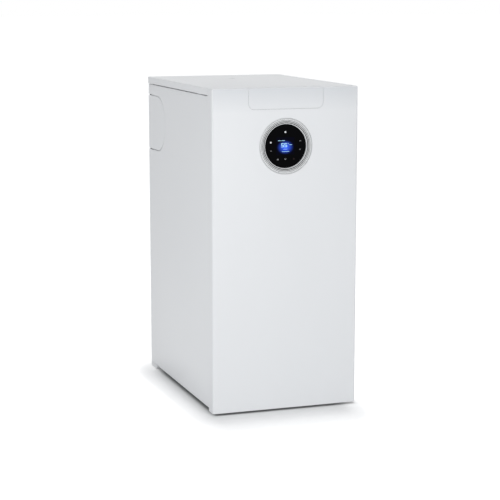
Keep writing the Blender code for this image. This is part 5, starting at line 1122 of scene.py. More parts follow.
# Rear panel with its outlets
rearWall = {"halfWidth": 0.1945, "low": 0.03, "high": 0.828, "front": 0.2973, "back": 0.2985}
outlets = ((0, 0.722, 0.0633), (0.085, 0.59, 0.0148), (-0.085, 0.17, 0.0148), (0.08, 0.11, 0.0118),
           (0, 0.075, 0.0118), (0.16, 0.6, 0.0108))


def makeRearPanel():
    half, face = rearWall["halfWidth"], rearWall["front"]
    sheet = addBox("rearWallSheet", (-half, face, rearWall["low"]), (half, rearWall["back"], rearWall["high"]))
    holes = [roundBar("hole", (x, 0.29, z), plusY, radius, 0.02, 64) for x, z, radius in outlets]
    for x in (-0.12, -0.06, 0.0, 0.06, 0.12):
        for z in (0.44, 0.455, 0.47):
            slot = addBox("slot", (x - 0.02, 0.29, z - 0.0025), (x + 0.02, 0.305, z + 0.0025))
            holes.append(bevelSome(slot, runsAlong(1), 0.0024, 4))
    carve(sheet, *holes)
    beads = []
    for z in (0.25, 0.34, 0.52):
        corner = (-0.15, face - 0.001, z - 0.006)
        beads.append(softBox("bead", corner, (0.15, face + 0.0002, z + 0.006), 0.0008, 3))
    collars = []
    for x, z, radius in outlets[1:]:
        collars.append(tubeBar("collar", (x, face + 0.0008, z), minusY, radius + 0.0022, radius, 0.0018, 48))
    return welded(sheet, *beads, *collars)


def makeRearScrews():
    first = panScrew("rearScrews", (-0.187, rearWall["back"] - 0.0007, 0.06), plusY, 0.0038)
    shifts = [(0, 0, step * 0.182) for step in range(1, 5)]
    shifts += [(0.374, 0, step * 0.182) for step in range(5)]
    return spread(first, "rearScrew", shifts)


dress(makeRearPanel(), "zincSheet", "rear_panel")
dress(makeRearScrews(), "brushedSteel")
print("rear panel")


# Service recess and mains switch
recess = {
    "halfWidth": 0.096, "front": -0.29575, "rear": -0.22825, "low": 0.7863, "high": 0.8378, "wall": 0.002,
    "switchX": -0.055, "switchZ": 0.81205, "rockerWidth": 0.018, "rockerHeight": 0.026, "tilt": 8.0,
}


def switchHole(name, start, end):
    x, z = recess["switchX"], recess["switchZ"]
    wide, tall = recess["rockerWidth"] / 2 + 0.0003, recess["rockerHeight"] / 2 + 0.0003
    return addBox(name, (x - wide, start, z - tall), (x + wide, end, z + tall))


def makeRecess():
    half, low, front, rear = [recess[key] for key in ("halfWidth", "low", "front", "rear")]
    pocket = addBox("serviceBin", (-half, front, low), (half, rear, recess["high"]))
    dropFaces(pocket, lambda face: face.normal.z > 0.9 or face.normal.y < -0.9)
    bevelSome(pocket, lambda edge: len(edge.link_faces) == 2, 0.003, 3)
    thicken(pocket, recess["wall"])
    carve(pocket, switchHole("window", rear - 0.004, rear + 0.004))
    ribs = []
    for number in range(9):
        spot = -0.02 + number * 0.0125
        ribs.append(softBox(
            "rib", (spot - 0.0008, front + 0.006, low + recess["wall"] - 0.0003),
            (spot + 0.0008, rear - 0.008, low + recess["wall"] + 0.0007), 0.0003, 2,
        ))
    lip = softBox("lip", (0.002 - half, front, low), (half - 0.002, front + 0.0016, low + 0.0045), 0.0004, 2)
    return welded(pocket, *ribs, lip)


def makeSwitchBody():
    x, z, face = recess["switchX"], recess["switchZ"], recess["rear"] + 0.0003
    corner = (x - 0.013, face, z - 0.017)
    body = softBox("switchHousing", corner, (x + 0.013, face + 0.022, z + 0.017), 0.0009, 3)
    return tidyMesh(carve(body, switchHole("room", face - 0.01, face + 0.0105)), 30)


def makeRocker():
    # two faces that meet in a shallow valley, with a bar and a ring for on and off
    half = recess["rockerHeight"] / 2 * math.cos(math.radians(recess["tilt"])) - 0.0003
    proud = 0.001
    valley = proud - half * math.tan(math.radians(recess["tilt"]))
    face = [(-proud, half), (-(proud + valley) / 2 + 0.0002, half * 0.45), (-valley, 0)]
    face += [(-(proud + valley) / 2 + 0.0002, -half * 0.45), (-proud, -half)]
    keel = [(0.0025, -half), (0.005, 0), (0.0025, half)]
    wide = recess["rockerWidth"] / 2
    rocker = soften(plateOf("mainsRocker", face + keel, 0, -wide, wide), 0.0004, 2)
    bar = addBox("bar", (-0.0004, -proud - 0.0001, half * 0.42), (0.0004, -proud + 0.001, half * 0.8))
    ring = turned(
        "ring", (0, -proud + 0.001, -half * 0.6), minusY,
        mm((2.1, 0), (2.1, 1.1), (1.4, 1.1), (1.4, 0)), 24, ring=True,
    )
    fuse(rocker, bar, ring)
    pick(rocker)
    rocker.rotation_euler = (math.radians(recess["tilt"]), 0, 0)
    rocker.location = (recess["switchX"], recess["rear"], recess["switchZ"])
    return tidyMesh(settle(rocker, "mainsRocker"), 30)


def makeSwitchTabs():
    x, z, back = recess["switchX"], recess["switchZ"], recess["rear"] + 0.0223
    corner = (x - 0.0085, back - 0.0004, z + 0.008)
    first = softBox("switchTabs", corner, (x - 0.0025, back + 0.0012, z + 0.0088), 0.0002, 1)
    return spread(first, "tab", [(0.011, 0, 0), (0, 0, -0.0168), (0.011, 0, -0.0168)])


dress(makeRecess(), "mouldedGrey", "service_recess")
dress(makeSwitchBody(), "mouldedBlack", "mains_switch_body")
dress(makeRocker(), "mouldedBlack", "mains_switch_rocker", "rocker")
dress(makeSwitchTabs(), "brushedSteel")
print("service recess and mains switch")


# Control box, cover and board
box = {
    "halfWidth": 0.178, "front": -0.2865, "rear": -0.2065, "low": 0.612, "high": 0.786, "wall": 0.0025,
    "earY": -0.2835, "earOuter": 0.196, "boardY": -0.2542,
}


def makeControlBox():
    half, wall, front, low, high = [box[key] for key in ("halfWidth", "wall", "front", "low", "high")]
    case = openPan("controlCase", (-half, front, low), (half, box["rear"], high), 1, 1, wall, 0.003)
    wayX = (-0.14, -0.11, -0.08, 0.08, 0.11, 0.14)
    carve(case, *[roundBar("hole", (x, -0.235, low - 0.005), plusZ, 0.0065, 0.012, 24) for x in wayX])
    parts = []
    middle = (low + high) / 2
    standoff = mm((5.8, 0), (4.2, 2.5), (4, 29.5), (3.4, 30), (1.6, 30), (1.5, 22))
    for hand in (-1, 1):
        corner = (hand * (half - 0.001), box["earY"], middle - 0.04)
        ear = (hand * box["earOuter"], box["earY"] + 0.003, middle + 0.04)
        parts.append(softBox("ear", corner, ear, 0.0008, 2))
        for z in (low + 0.04, high - 0.04):
            parts.append(turned("standoff", (hand * (half - 0.04), front + wall - 0.0003, z), plusY, standoff, 24))
        for z in (low + 0.025, middle, high - 0.025):
            corner = (hand * (half - wall + 0.0003), front + 0.004, z - 0.0009)
            rib = (hand * (half - wall - 0.0022), box["rear"] - 0.006, z + 0.0009)
            parts.append(softBox("rib", corner, rib, 0.0003, 1))
    grommet = mm((6.4, 0), (7.8, 1.6), (7.8, 3.6), (6.4, 4.6), (3, 4.6), (2.6, 0.4))
    for x in wayX:
        parts.append(turned("grommet", (x, -0.235, low + 0.0008), plusZ, grommet, 24, ring=True))
    return welded(case, *parts)


def makeBoxCover():
    half = box["halfWidth"]
    low, high = box["rear"] + 0.0003, box["rear"] + 0.0028
    cover = softBox("controlCover", (-half, low, box["low"]), (half, high, box["high"]), 0.001, 3)
    middle = (box["low"] + box["high"]) / 2
    cutters = []
    for number in range(7):
        x = (number - 3) * 0.014
        slot = addBox("vent", (x - 0.002, low - 0.003, middle - 0.025), (x + 0.002, high + 0.003, middle + 0.025))
        cutters.append(bevelSome(slot, runsAlong(1), 0.0019, 4))
    return tidyMesh(carve(cover, *cutters), 30)


def makeBoxScrews():
    first = panScrew("boxScrews", (-0.17, box["rear"] + 0.0028, box["low"] + 0.01), plusY, 0.0032)
    shifts = [(0.34, 0, 0), (0, 0, 0.154), (0.34, 0, 0.154), (0.17, 0, 0), (0.17, 0, 0.154)]
    return spread(first, "boxScrew", shifts)


def makeBoard():
    half = box["halfWidth"] - 0.02
    face = box["boardY"] + 0.0016
    low, high = box["low"] + 0.02, box["high"] - 0.02
    board = softBox("controlPrint", (-half, box["boardY"], low), (half, face, high), 0.0003, 1)
    holes = []
    for x in (-0.138, 0.138):
        for z in (box["low"] + 0.04, box["high"] - 0.04):
            holes.append(roundBar("hole", (x, face - 0.005, z), plusY, 0.0022, 0.01, 20))
    return tidyMesh(carve(board, *holes), 30)


def blockOnBoard(name, shares, edge=0.0008):
    # from shares of the board's width, height and the room behind it
    x, z, wide, tall, deep = shares
    left, width = -0.158, 0.316
    base, height = 0.632, 0.134
    face, room = -0.2526, 0.0461
    low = (left + x * width, face, base + z * height)
    high = (left + (x + wide) * width, face + deep * room, base + (z + tall) * height)
    return softBox(name, low, high, edge, 2)


def makeBoardParts():
    relays = [blockOnBoard("boardRelays", (x, 0.6, 0.08, 0.2, 0.45)) for x in (0.3, 0.45, 0.6)]
    relays.append(blockOnBoard("supply", (0.1, 0.2, 0.12, 0.25, 0.6), 0.0015))
    for number in range(9):
        relays.append(blockOnBoard("plug", (0.055 + number * 0.045, 0.02, 0.036, 0.085, 0.22), 0.0004))
    for x, z in ((0.52, 0.3), (0.6, 0.44)):
        relays.append(blockOnBoard("chip", (x, z, 0.05, 0.1, 0.05), 0.0003))
    dress(fuse(*relays), "mouldedBlack")
    core = [blockOnBoard("boardTransformer", (0.7, 0.15, 0.2, 0.3, 0.55), 0.0006)]
    core.append(blockOnBoard("coil", (0.725, 0.19, 0.15, 0.22, 0.8), 0.003))
    dress(fuse(*core), "drawnCopper")
    cans = []
    canSpots = (-0.01, 0.662, 0.006), (0.006, 0.668, 0.005), (-0.055, 0.69, 0.007), (0.12, 0.735, 0.008)
    for x, z, radius in canSpots:
        profile = [(radius - 0.0004, 0), (radius, 0.0008), (radius - 0.0005, 0.0022), (radius, 0.0034)]
        profile += [(radius, 0.016), (radius - 0.0006, 0.0166)]
        cans.append(turned("boardCans", (x, -0.2526, z), plusY, profile, 28))
    for number in range(12):
        x = -0.02 + number * 0.0075
        cans.append(roundBar("lead", (x, -0.2526, 0.703), plusZ, 0.0011, 0.006, 12, 0.0003))
    dress(fuse(*cans), "brushedSteel")


dress(makeControlBox(), "mouldedGrey", "control_box")
dress(makeBoxCover(), "mouldedGrey", "control_box_cover")
dress(makeBoxScrews(), "brushedSteel")
dress(makeBoard(), "boardGreen", "control_board")
makeBoardParts()
moduleBoard = roundBar("touchBoard", (0, -0.2877, 0.699), minusY, 0.045, 0.0016, 72, 0.0003)
screenBack = softBox("screenBack", (-0.019, -0.2917, 0.68), (0.019, -0.289, 0.718), 0.0006, 2)
dress(fuse(moduleBoard, screenBack), "boardGreen", "display_module")
print("control box and board")


# Heat exchanger and the stands that carry it
exchanger = {
    "z": 0.425, "front": -0.06, "rear": 0.14, "middle": 0.04, "radius": 0.118, "rim": 0.124, "ribs": 16,
    "fireboxRadius": 0.062, "fireboxRear": 0.11, "portX": 0.085, "flowTop": 0.535, "returnLow": 0.315,
    "spigotRadius": 0.038, "spigotBore": 0.035, "spigotLow": 0.282, "lugX": 0.152,
}


def makeExchanger():
    # firebox floor first, out over the front face and back along the ribs
    z, rim, body = exchanger["z"], exchanger["rim"], exchanger["radius"]
    length = exchanger["rear"] - exchanger["front"]
    depth = exchanger["fireboxRear"] - exchanger["front"]
    bore = exchanger["fireboxRadius"]
    profile = [(bore - 0.004, -depth), (bore, -depth + 0.004)]
    for number in range(10):
        along = -depth + 0.012 + number * 0.015
        profile += [(bore, along), (bore - 0.0015, along + 0.002), (bore - 0.0015, along + 0.005)]
        profile.append((bore, along + 0.007))
    profile += [(bore, -0.001), (bore + 0.001, 0), (rim - 0.0015, 0), (rim, -0.0015), (rim, -0.012), (body, -0.014)]
    pitch = (length - 0.03) / exchanger["ribs"]
    for number in range(exchanger["ribs"]):
        along = -0.015 - number * pitch
        profile += [(body, along - pitch * 0.3), (rim - 0.0009, along - pitch * 0.38), (rim, along - pitch * 0.46)]
        profile += [(rim, along - pitch * 0.6), (rim - 0.0009, along - pitch * 0.68), (body, along - pitch * 0.76)]
    profile += [(body, -length + 0.0135), (rim, -length + 0.0115), (rim, -length + 0.0015), (rim - 0.0015, -length)]
    profile += [(0.095, -length), (0.092, -length + 0.003), (0.04, -length + 0.003)]
    profile += [(0.037, -length), (0.01, -length)]
    core = turned("exchangerCasting", (0, exchanger["front"], z), minusY, profile, 120)
    middle, port = exchanger["middle"], exchanger["portX"]
    carve(core, roundBar("way", (0, middle, z), minusZ, exchanger["spigotBore"], 0.135, 56))
    drop = 0.33 - exchanger["spigotLow"]
    radius, bore = exchanger["spigotRadius"], exchanger["spigotBore"]
    parts = [tubeBar("spigot", (0, middle, 0.33), minusZ, radius, bore, drop, 56)]
    for x, sign, end in ((port, 1, exchanger["flowTop"]), (-port, -1, exchanger["returnLow"])):
        reach = abs(end - z)
        parts.append(turned(
            "boss", (x, middle, z + sign * 0.05), (0, 0, sign),
            [(0.026, 0), (0.0225, 0.012), (0.02, 0.02), (0.02, reach - 0.0515), (0.0185, reach - 0.05),
             (0.013, reach - 0.05), (0.0125, reach - 0.056)], 48,
        ))
    for hand in (-1, 1):
        corner = (hand * 0.098, middle - 0.06, z - 0.006)
        lug = addBox("lug", corner, (hand * exchanger["lugX"], middle + 0.06, z + 0.006))
        for y in (middle - 0.045, middle + 0.045):
            carve(lug, roundBar("hole", (hand * 0.141, y, z - 0.02), plusZ, 0.0045, 0.04, 24))
        parts.append(soften(lug, 0.0022, 3))
        for y in (middle - 0.056, middle, middle + 0.056):
            corner = (hand * 0.104, y - 0.003, z + 0.004)
            parts.append(softBox("web", corner, (hand * 0.128, y + 0.003, z + 0.024), 0.0015, 2))
    return welded(core, *parts)


def makeDoorBolts():
    return ringOf(
        lambda name, place: hexBolt(name, place, minusY, 0.0042, 0.0034),
        "doorBolts", (0, -0.0717, exchanger["z"]), 0.09, 8, 22.5,
    )


def makeStand(name, hand):
    low, high = sorted((hand * 0.1292, hand * 0.1532))
    floor, top = 0.0315, 0.4187
    stand = openPan(name, (low, -0.04, floor), (high, 0.12, top), 0, -hand, 0.0012, 0.0015)
    middle = (floor + top) / 2
    upper = arcOf((0.04, middle + 0.075), 0.045, 0, 180, 28)
    lower = arcOf((0.04, middle - 0.075), 0.045, 180, 360, 28)
    cutters = [plateOf("slot", upper + lower, 0, low - 0.01, high + 0.01)]
    for y in (-0.005, 0.085):
        for z in (top, floor):
            cutters.append(roundBar("hole", (hand * 0.141, y, z - 0.006), plusZ, 0.0042, 0.012, 24))
    carve(stand, *cutters)
    outer = hand * 0.1532
    beads = []
    for y in (-0.022, 0.102):
        corner = (outer - hand * 0.0022, y - 0.004, floor + 0.03)
        beads.append(softBox("bead", corner, (outer - hand * 0.0008, y + 0.004, top - 0.03), 0.0006, 2))
    return welded(stand, *beads)


def makeStandBolts():
    first = hexBolt("standBolts", (-0.141, -0.005, 0.431), plusZ, 0.0052, 0.0045)
    return spread(first, "standBolt", [(0, 0.09, 0), (0.282, 0, 0), (0.282, 0.09, 0)])


dress(makeExchanger(), "castAlloy", "heat_exchanger")
dress(makeStand("leftStandFold", -1), "zincSheet", "exchanger_stand_left")
dress(makeStand("rightStandFold", 1), "zincSheet", "exchanger_stand_right")
dress(makeStandBolts(), "brushedSteel")
print("heat exchanger and stands")


# Burner door, gasket, burner and electrode
door = {"rear": -0.0636, "front": -0.0716, "collar": -0.0836, "radius": 0.1, "bore": 0.02, "electrodeX": 0.05}


def makeDoor():
    z, thick = exchanger["z"], door["rear"] - door["front"]
    reach = door["rear"] - door["collar"]
    bore, edge = door["bore"], door["radius"]
    profile = [(edge - 0.001, 0), (edge, 0.001), (edge, thick - 0.0035), (edge - 0.0025, thick - 0.0006)]
    profile += [(0.098, thick), (0.082, thick), (0.08, thick - 0.0015), (0.062, thick - 0.0015)]
    profile += [(0.06, thick), (0.036, thick)]
    profile += [(0.0315, thick + 0.002), (0.029, thick + 0.005), (0.028, reach - 0.001), (0.0273, reach)]
    profile += [(bore + 0.0008, reach), (bore, reach - 0.0008), (bore, 0.0006), (bore + 0.0006, 0)]
    plate = turned("burnerDoorPlate", (0, door["rear"], z), minusY, profile, 96, ring=True)
    carve(plate, roundBar("hole", (door["electrodeX"], door["rear"] + 0.005, z), minusY, 0.004, 0.03, 24))
    padMaker = pegMaker(1, 0.002, door["front"] - 0.0012, door["front"] + 0.001, 0.0006)
    pads = ringOf(padMaker, "pad", (0, 0, z), 0.071, 12, 15)
    sight = turned(
        "sight", (-0.05, door["front"] + 0.0005, z), minusY,
        mm((10, 0), (9.2, 3), (8.5, 3.4), (5.5, 3.4), (5, 1.2)), 32,
    )
    return welded(plate, pads, sight)


def makeGasket():
    profile = [
        (0.0996, 0), (0.1, 0.0005), (0.1, 0.0025), (0.0996, 0.003), (0.092, 0.003), (0.0905, 0.0024),
        (0.08, 0.0024), (0.0785, 0.003), (0.0704, 0.003), (0.07, 0.0025), (0.07, 0.0005), (0.0704, 0),
    ]
    return turned("doorSealRing", (0, -0.0603, exchanger["z"]), minusY, profile, 88, ring=True)


def makeBurner():
    # flanged tube with rows of pressed ports, closed at its far end
    z = exchanger["z"]
    outer = mm((42, 0), (42, 2), (31.5, 2), (30, 3.2))
    for row in range(22):
        outer.append((0.03, 0.008 + row * 0.0048))
    outer += mm((30, 117.5), (28.5, 119.8), (20, 120), (19.5, 118.8), (4, 118.8))
    tube = turned("burnerTube", (0, -0.0633, z), plusY, outer, 72)

    def isPort(face):
        spot = face.calc_center_median()
        radius = math.hypot(spot.x, spot.z - z)
        if not 0.029 < radius < 0.0302 or not -0.054 < spot.y < 0.044:
            return False
        row = int((spot.y + 0.0553) / 0.0048)
        turn = int(round(math.degrees(math.atan2(spot.z - z, spot.x)) / 5.0))
        return (turn + 2 * (row % 2)) % 4 == 0

    selectParts(tube, "FACE", isPort)
    bpy.ops.mesh.inset(thickness=0.0005, depth=-0.0008, use_individual=True)
    bpy.ops.object.mode_set(mode="OBJECT")
    carve(tube, roundBar("mouth", (0, -0.07, z), plusY, 0.0284, 0.02, 72))
    return tidyMesh(tube, 25)


def makeElectrode():
    z, x = exchanger["z"], door["electrodeX"]
    profile = mm((2.6, 0), (3.5, 0.8))
    for number in range(5):
        along = 0.003 + number * 0.0042
        profile += [(0.0035, along), (0.0029, along + 0.001), (0.0029, along + 0.002), (0.0035, along + 0.003)]
    profile += mm((3.5, 52), (3, 53))
    insulator = turned("electrodeCeramic", (x, -0.0966, z), plusY, profile, 32)
    dress(insulator, "glazedCeramic", "ignition_electrode")
    tip = roundBar("electrodeTip", (x, -0.0446, z), plusY, 0.0012, 0.0186, 16, 0.0003)
    dress(tip, "brushedSteel")


dress(makeDoor(), "castAlloy", "burner_door")
dress(makeDoorBolts(), "brushedSteel")
dress(makeGasket(), "gasketFibre", "door_gasket")
dress(makeBurner(), "brushedSteel", "burner")
makeElectrode()
print("burner door, burner and electrode")


# Fan, mixing bend, venturi and air intake
fan = {
    "x": -0.053, "y": -0.1275, "z": 0.29, "front": -0.1495, "rear": -0.1055, "top": 0.37, "mouth": 0.044,
    "small": 0.054, "large": 0.075, "tongue": 62, "wall": 0.0025, "eye": 0.026, "impeller": 0.046, "blades": 9,
    "lugTurns": (100, 140, 180, 220, 260, 300, 335),
}


def voluteSpot(angle, inset):
    share = (angle - fan["tongue"]) / (360 - fan["tongue"])
    radius = fan["small"] + (fan["large"] - fan["small"]) * share - inset
    return fan["x"] + radius * math.cos(math.radians(angle)), fan["z"] + radius * math.sin(math.radians(angle))


def voluteOutline(inset, top):
    first = fan["tongue"]
    spiral = [voluteSpot(first + (360 - first) * step / 48, inset) for step in range(49)]
    half = fan["mouth"] / 2 - inset
    return [(half, top), (-half, top), *spiral]


def makeFanHousing():
    housing = plateOf("fanVolute", voluteOutline(0, fan["top"]), 1, fan["front"], fan["rear"])
    soften(housing, 0.0018, 3, 50)
    wall = fan["wall"]
    inside = plateOf("inside", voluteOutline(wall, fan["top"] + 0.01), 1, fan["front"] + wall, fan["rear"] - wall)
    eye = roundBar("eye", (fan["x"], fan["front"] - 0.006, fan["z"]), plusY, fan["eye"], 0.02, 64)
    shaft = roundBar("shaft", (fan["x"], fan["rear"] + 0.006, fan["z"]), minusY, 0.009, 0.02, 40)
    carve(housing, inside, eye, shaft)
    parts = []
    for angle in fan["lugTurns"]:
        x, z = voluteSpot(angle, 0.005)
        parts.append(turned(
            "lug", (x, fan["y"] - 0.01, z), plusY,
            mm((4.6, 0), (5, 0.8), (5, 19.2), (4.6, 20)), 24,
        ))
    return welded(housing, *parts)


def makeFanScrews():
    heads = []
    for angle in fan["lugTurns"]:
        x, z = voluteSpot(angle, 0.0045)
        heads.append(panScrew("fanScrews", (x, fan["front"] + 0.0001, z), minusY, 0.0028))
    return fuse(*heads)


def makeImpeller():
    x, z = fan["x"], fan["z"]
    rear, front, radius = -0.1121, -0.142, fan["impeller"] - 0.0002
    profile = [(radius - 0.0004, 0), (radius, 0.0004), (radius, 0.0016), (0.03, 0.002), (0.011, 0.003)]
    profile += mm((9, 6), (8.8, 20), (8, 20.8), (4, 20.8), (3.4, 20), (3.4, 0.2), (4, 0))
    disc = turned("fanWheel", (x, rear, z), minusY, profile, 72, ring=True)
    profile = [(radius, -0.0012), (radius, 0.0002), (radius - 0.006, 0.0008), (0.027, 0.0008)]
    profile += mm((26.2, 0.2), (26.2, -1.2))
    parts = [turned("shroud", (x, front, z), minusY, profile, 72, ring=True)]
    for number in range(fan["blades"]):
        turn = 2 * math.pi * number / fan["blades"]
        outer, inner = [], []
        for step in range(9):
            share = step / 8
            reach = 0.0225 + (radius - 0.0231) * share
            angle = turn - math.radians(38) * share
            half = 0.0008 / reach
            outer.append((x + reach * math.cos(angle + half), z + reach * math.sin(angle + half)))
            inner.append((x + reach * math.cos(angle - half), z + reach * math.sin(angle - half)))
        parts.append(plateOf("blade", inner + outer[::-1], 1, front + 0.0002, rear - 0.0008))
    return tidyMesh(fuse(disc, *parts), 35)


def makeMotor():
    x, z, start = fan["x"], fan["z"], fan["rear"] + 0.0003
    profile = mm((4, 0), (32, 0), (33, 1))
    for number in range(7):
        along = 0.004 + number * 0.0038
        profile += [(0.033, along), (0.0302, along + 0.0004), (0.0302, along + 0.0018), (0.033, along + 0.0022)]
    profile += mm((33, 32.2), (31.6, 34), (12, 34), (11, 33), (6, 33))
    can = turned("fanMotorCan", (x, start, z), plusY, profile, 72)
    carve(can, roundBar("bore", (x, start - 0.005, z), plusY, 0.0033, 0.0225, 24))
    plug = addBox("plug", (x - 0.01, start + 0.006, z + 0.029), (x + 0.01, start + 0.024, z + 0.0329))
    return welded(can, soften(plug, 0.001, 3))


def makeMixingBend():
    z = exchanger["z"]
    corners = [(0, -0.084, z), (0, fan["y"], z), (0, fan["y"], 0.3704)]
    bend = bentPipe("mixingElbow", corners, 0.04, 0.024, 0.002, 64, 20)
    profile = mm((31.2, 0), (32, 0.4), (32, 1.6), (31.2, 2), (26.2, 3), (23.8, 5), (22.2, 5), (22.2, 0))
    flange = turned("flange", (0, -0.0839, z), minusY, profile, 64, ring=True)
    foot = addBox("foot", (-0.0257, fan["y"] - 0.0257, 0.3703), (0.0257, fan["y"] + 0.0257, 0.3743))
    carve(foot, roundBar("way", (0, fan["y"], 0.36), plusZ, 0.0222, 0.03, 64))
    soften(foot, 0.0009, 2)
    web = addBox("web", (-0.0012, fan["y"] - 0.0256, 0.3735), (0.0012, fan["y"] - 0.0225, 0.395))
    return welded(bend, flange, foot, soften(web, 0.0004, 1))


def makeBendBolts():
    first = hexBolt("bendBolts", (-0.0215, fan["y"] - 0.0215, 0.3743), plusZ, 0.003, 0.0026)
    return spread(first, "bendBolt", [(0.043, 0, 0), (0, 0.043, 0), (0.043, 0.043, 0)])


def makeVenturi():
    x, z = fan["x"], fan["z"]
    waist = mm((30, 45), (30, 39), (21.2, 24), (21.2, 20), (30, 6.2), (30, 4))
    inner = mm((26.2, 0), (26.2, 3), (16.2, 21), (16.2, 24), (26.2, 45))
    profile = eased(waist, 0.006, 6) + mm((35.2, 4), (36, 3.4), (36, 0.6), (35.2, 0))
    profile += eased(inner, 0.008, 8)
    mixer = turned("venturiMixer", (x, -0.1498, z), minusY, profile, 72, ring=True)
    port = tubeBar("port", (x + 0.0185, -0.1723, z), plusX, 0.0078, 0.0042, 0.0174, 36)
    collar = hexNut("nut", (x + 0.027, -0.1723, z), plusX, 0.0098, 0.0079, 0.0085)
    ribs = []
    for angle in (45, 135, 225, 315):
        across = x + 0.0262 * math.cos(math.radians(angle))
        up = z + 0.0262 * math.sin(math.radians(angle))
        rib = addBox("rib", (across - 0.0012, -0.1705, up - 0.0012), (across + 0.0012, -0.153, up + 0.0012))
        ribs.append(soften(rib, 0.0005, 2))
    return welded(mixer, port, collar, *ribs)


def makeVenturiBolts():
    return ringOf(
        lambda name, place: hexBolt(name, place, minusY, 0.0022, 0.0022),
        "venturiBolts", (fan["x"], -0.1538, fan["z"]), 0.0328, 4, 0,
    )


def makeIntake():
    x, z = fan["x"], fan["z"]
    corners = [(x, -0.1951, z), (x, -0.2311, z), (x, -0.2311, 0.4985)]
    duct = bentPipe("airIntakeDuct", corners, 0.034, 0.0278, 0.002, 64, 20, False)
    parts = []
    for low in (0.335, 0.355, 0.375, 0.395, 0.415, 0.435, 0.455):
        parts.append(turned(
            "rib", (x, -0.2311, low), plusZ,
            mm((27.4, 0), (28, 1), (28, 3), (27.4, 4)), 64, ring=True,
        ))
    profile = mm((27.2, 0), (28, 2), (28, 11.4), (27.4, 12), (26.2, 11.6), (25, 6))
    mouth = turned("mouth", (x, -0.2311, 0.488), plusZ, [*profile, (0.025, 0.0005)], 64, ring=True)
    return welded(duct, mouth, *parts)


def makeFanShaft():
    profile = mm(
        (2.4, 0), (2.9, 0.5), (2.9, 15), (2.6, 15.3), (2.6, 16.3), (2.9, 16.6), (2.9, 37.8), (2.4, 38.3),
    )
    return turned("fanDriveShaft", (fan["x"], -0.1266, fan["z"]), plusY, profile, 28)


dress(makeFanHousing(), "castAlloy", "fan_housing")
dress(makeFanScrews(), "brushedSteel")
dress(makeImpeller(), "mouldedBlack", "fan_impeller", "fan_rotor")
dress(makeFanShaft(), "brushedSteel", "fan_shaft", "fan_rotor")
dress(makeMotor(), "mouldedBlack", "fan_motor")
dress(makeMixingBend(), "castAlloy", "mixing_bend")
dress(makeBendBolts(), "brushedSteel")
dress(makeVenturi(), "castAlloy", "venturi")
dress(makeVenturiBolts(), "brushedSteel")
dress(makeIntake(), "mouldedBlack", "air_intake_pipe")
print("fan, mixer and air intake")


# Gas line
gas = {
    "x": 0.08, "y": -0.1723, "z": 0.29, "low": 0.25, "high": 0.325, "front": -0.2023, "rear": -0.1423,
    "left": 0.05, "right": 0.11, "cockLow": 0.2097, "cockHigh": 0.2497, "cockMiddle": 0.2297, "run": 0.11,
}


def makeFeed():
    pipe = tubeBar("gasFeedTube", (-0.0166, gas["y"], gas["z"]), plusX, 0.0066, 0.0052, 0.0662, 32)
    nuts = [hexNut("nut", (x, gas["y"], gas["z"]), plusX, 0.008, 0.0064, 0.0095) for x in (-0.0165, 0.04)]
    return welded(pipe, *nuts)


def makeValve():
    left, right, front, rear, high = gas["left"], gas["right"], gas["front"], gas["rear"], gas["high"]
    body = addBox("gasValveBlock", (left, front, gas["low"]), (right, rear, high))

    def isShoulder(edge):
        atTop = all(v.co.z > high - 1e-5 for v in edge.verts)
        return atTop and abs(edge.verts[0].co.y - edge.verts[1].co.y) > 0.01

    bevelSome(body, isShoulder, 0.008, 6)
    soften(body, 0.0012, 3, 50)
    grooves = []
    for z in (0.262, 0.27, 0.278):
        for edge in (left, right):
            low = (edge - 0.0014, front - 0.002, z - 0.0012)
            grooves.append(addBox("groove", low, (edge + 0.0014, rear + 0.002, z + 0.0012)))
    carve(body, *grooves)
    parts = []
    for x in (0.057, 0.103):
        for z in (0.257, 0.308):
            profile = mm((4.2, 0), (4.2, 1), (3.6, 1.6), (2, 1.6), (1.8, 0.4))
            parts.append(turned("pillar", (x, front + 0.0006, z), minusY, profile, 24))
    profile = mm((9, 0), (8.8, 2), (8, 2.4), (8, 6), (7, 7.4), (4, 7.4), (3.6, 5))
    parts.append(turned("regulator", (gas["x"], front + 0.0005, gas["z"]), minusY, profile, 40))
    for x in (0.066, 0.094):
        profile = mm((4.8, 0), (4.8, 2.5), (3.4, 3), (3.8, 4.8), (3, 6), (1.2, 6), (1.1, 3))
        parts.append(turned("nipple", (x, front + 0.0005, 0.265), minusY, profile, 24))
    return welded(body, *parts)


def makeCoils():
    coils = []
    for x in (0.065, 0.095):
        profile = mm((12.2, 0), (13, 1), (13, 24), (11.8, 25.8), (6, 26.2), (5.6, 29), (4.8, 29.8), (2, 29.8))
        coils.append(turned("valveCoils", (x, gas["y"], gas["high"] + 0.0002), plusZ, profile, 44))
        low = (x - 0.006, gas["y"] - 0.0185, gas["high"] + 0.006)
        high = (x + 0.006, gas["y"] - 0.011, gas["high"] + 0.018)
        coils.append(softBox("plug", low, high, 0.0008, 2))
    return welded(*coils)


def makeCock():
    x, y, low, high = gas["x"], gas["y"], gas["cockLow"], gas["cockHigh"]
    profile = mm((11, 0), (12, 1), (13.6, 5), (13.6, 18), (12, 22), (11, 23))
    body = turned("gasCockBody", (x, y, low + 0.0085), plusZ, profile, 48)
    ends = []
    for start in (low, high - 0.01):
        profile = mm((14.2, 0), (16, 1), (16, 9), (14.2, 10))
        ends.append(turned("nut", (x, y, start), plusZ, profile, 6))
    profile = mm((8.6, 0), (8, 1), (8, 5.4), (7.6, 5.9), (4.6, 5.9), (4.4, 5.4), (4.4, 0.3))
    boss = turned("boss", (x, y - 0.01, gas["cockMiddle"]), minusY, profile, 36, ring=True)
    return welded(body, *ends, boss)


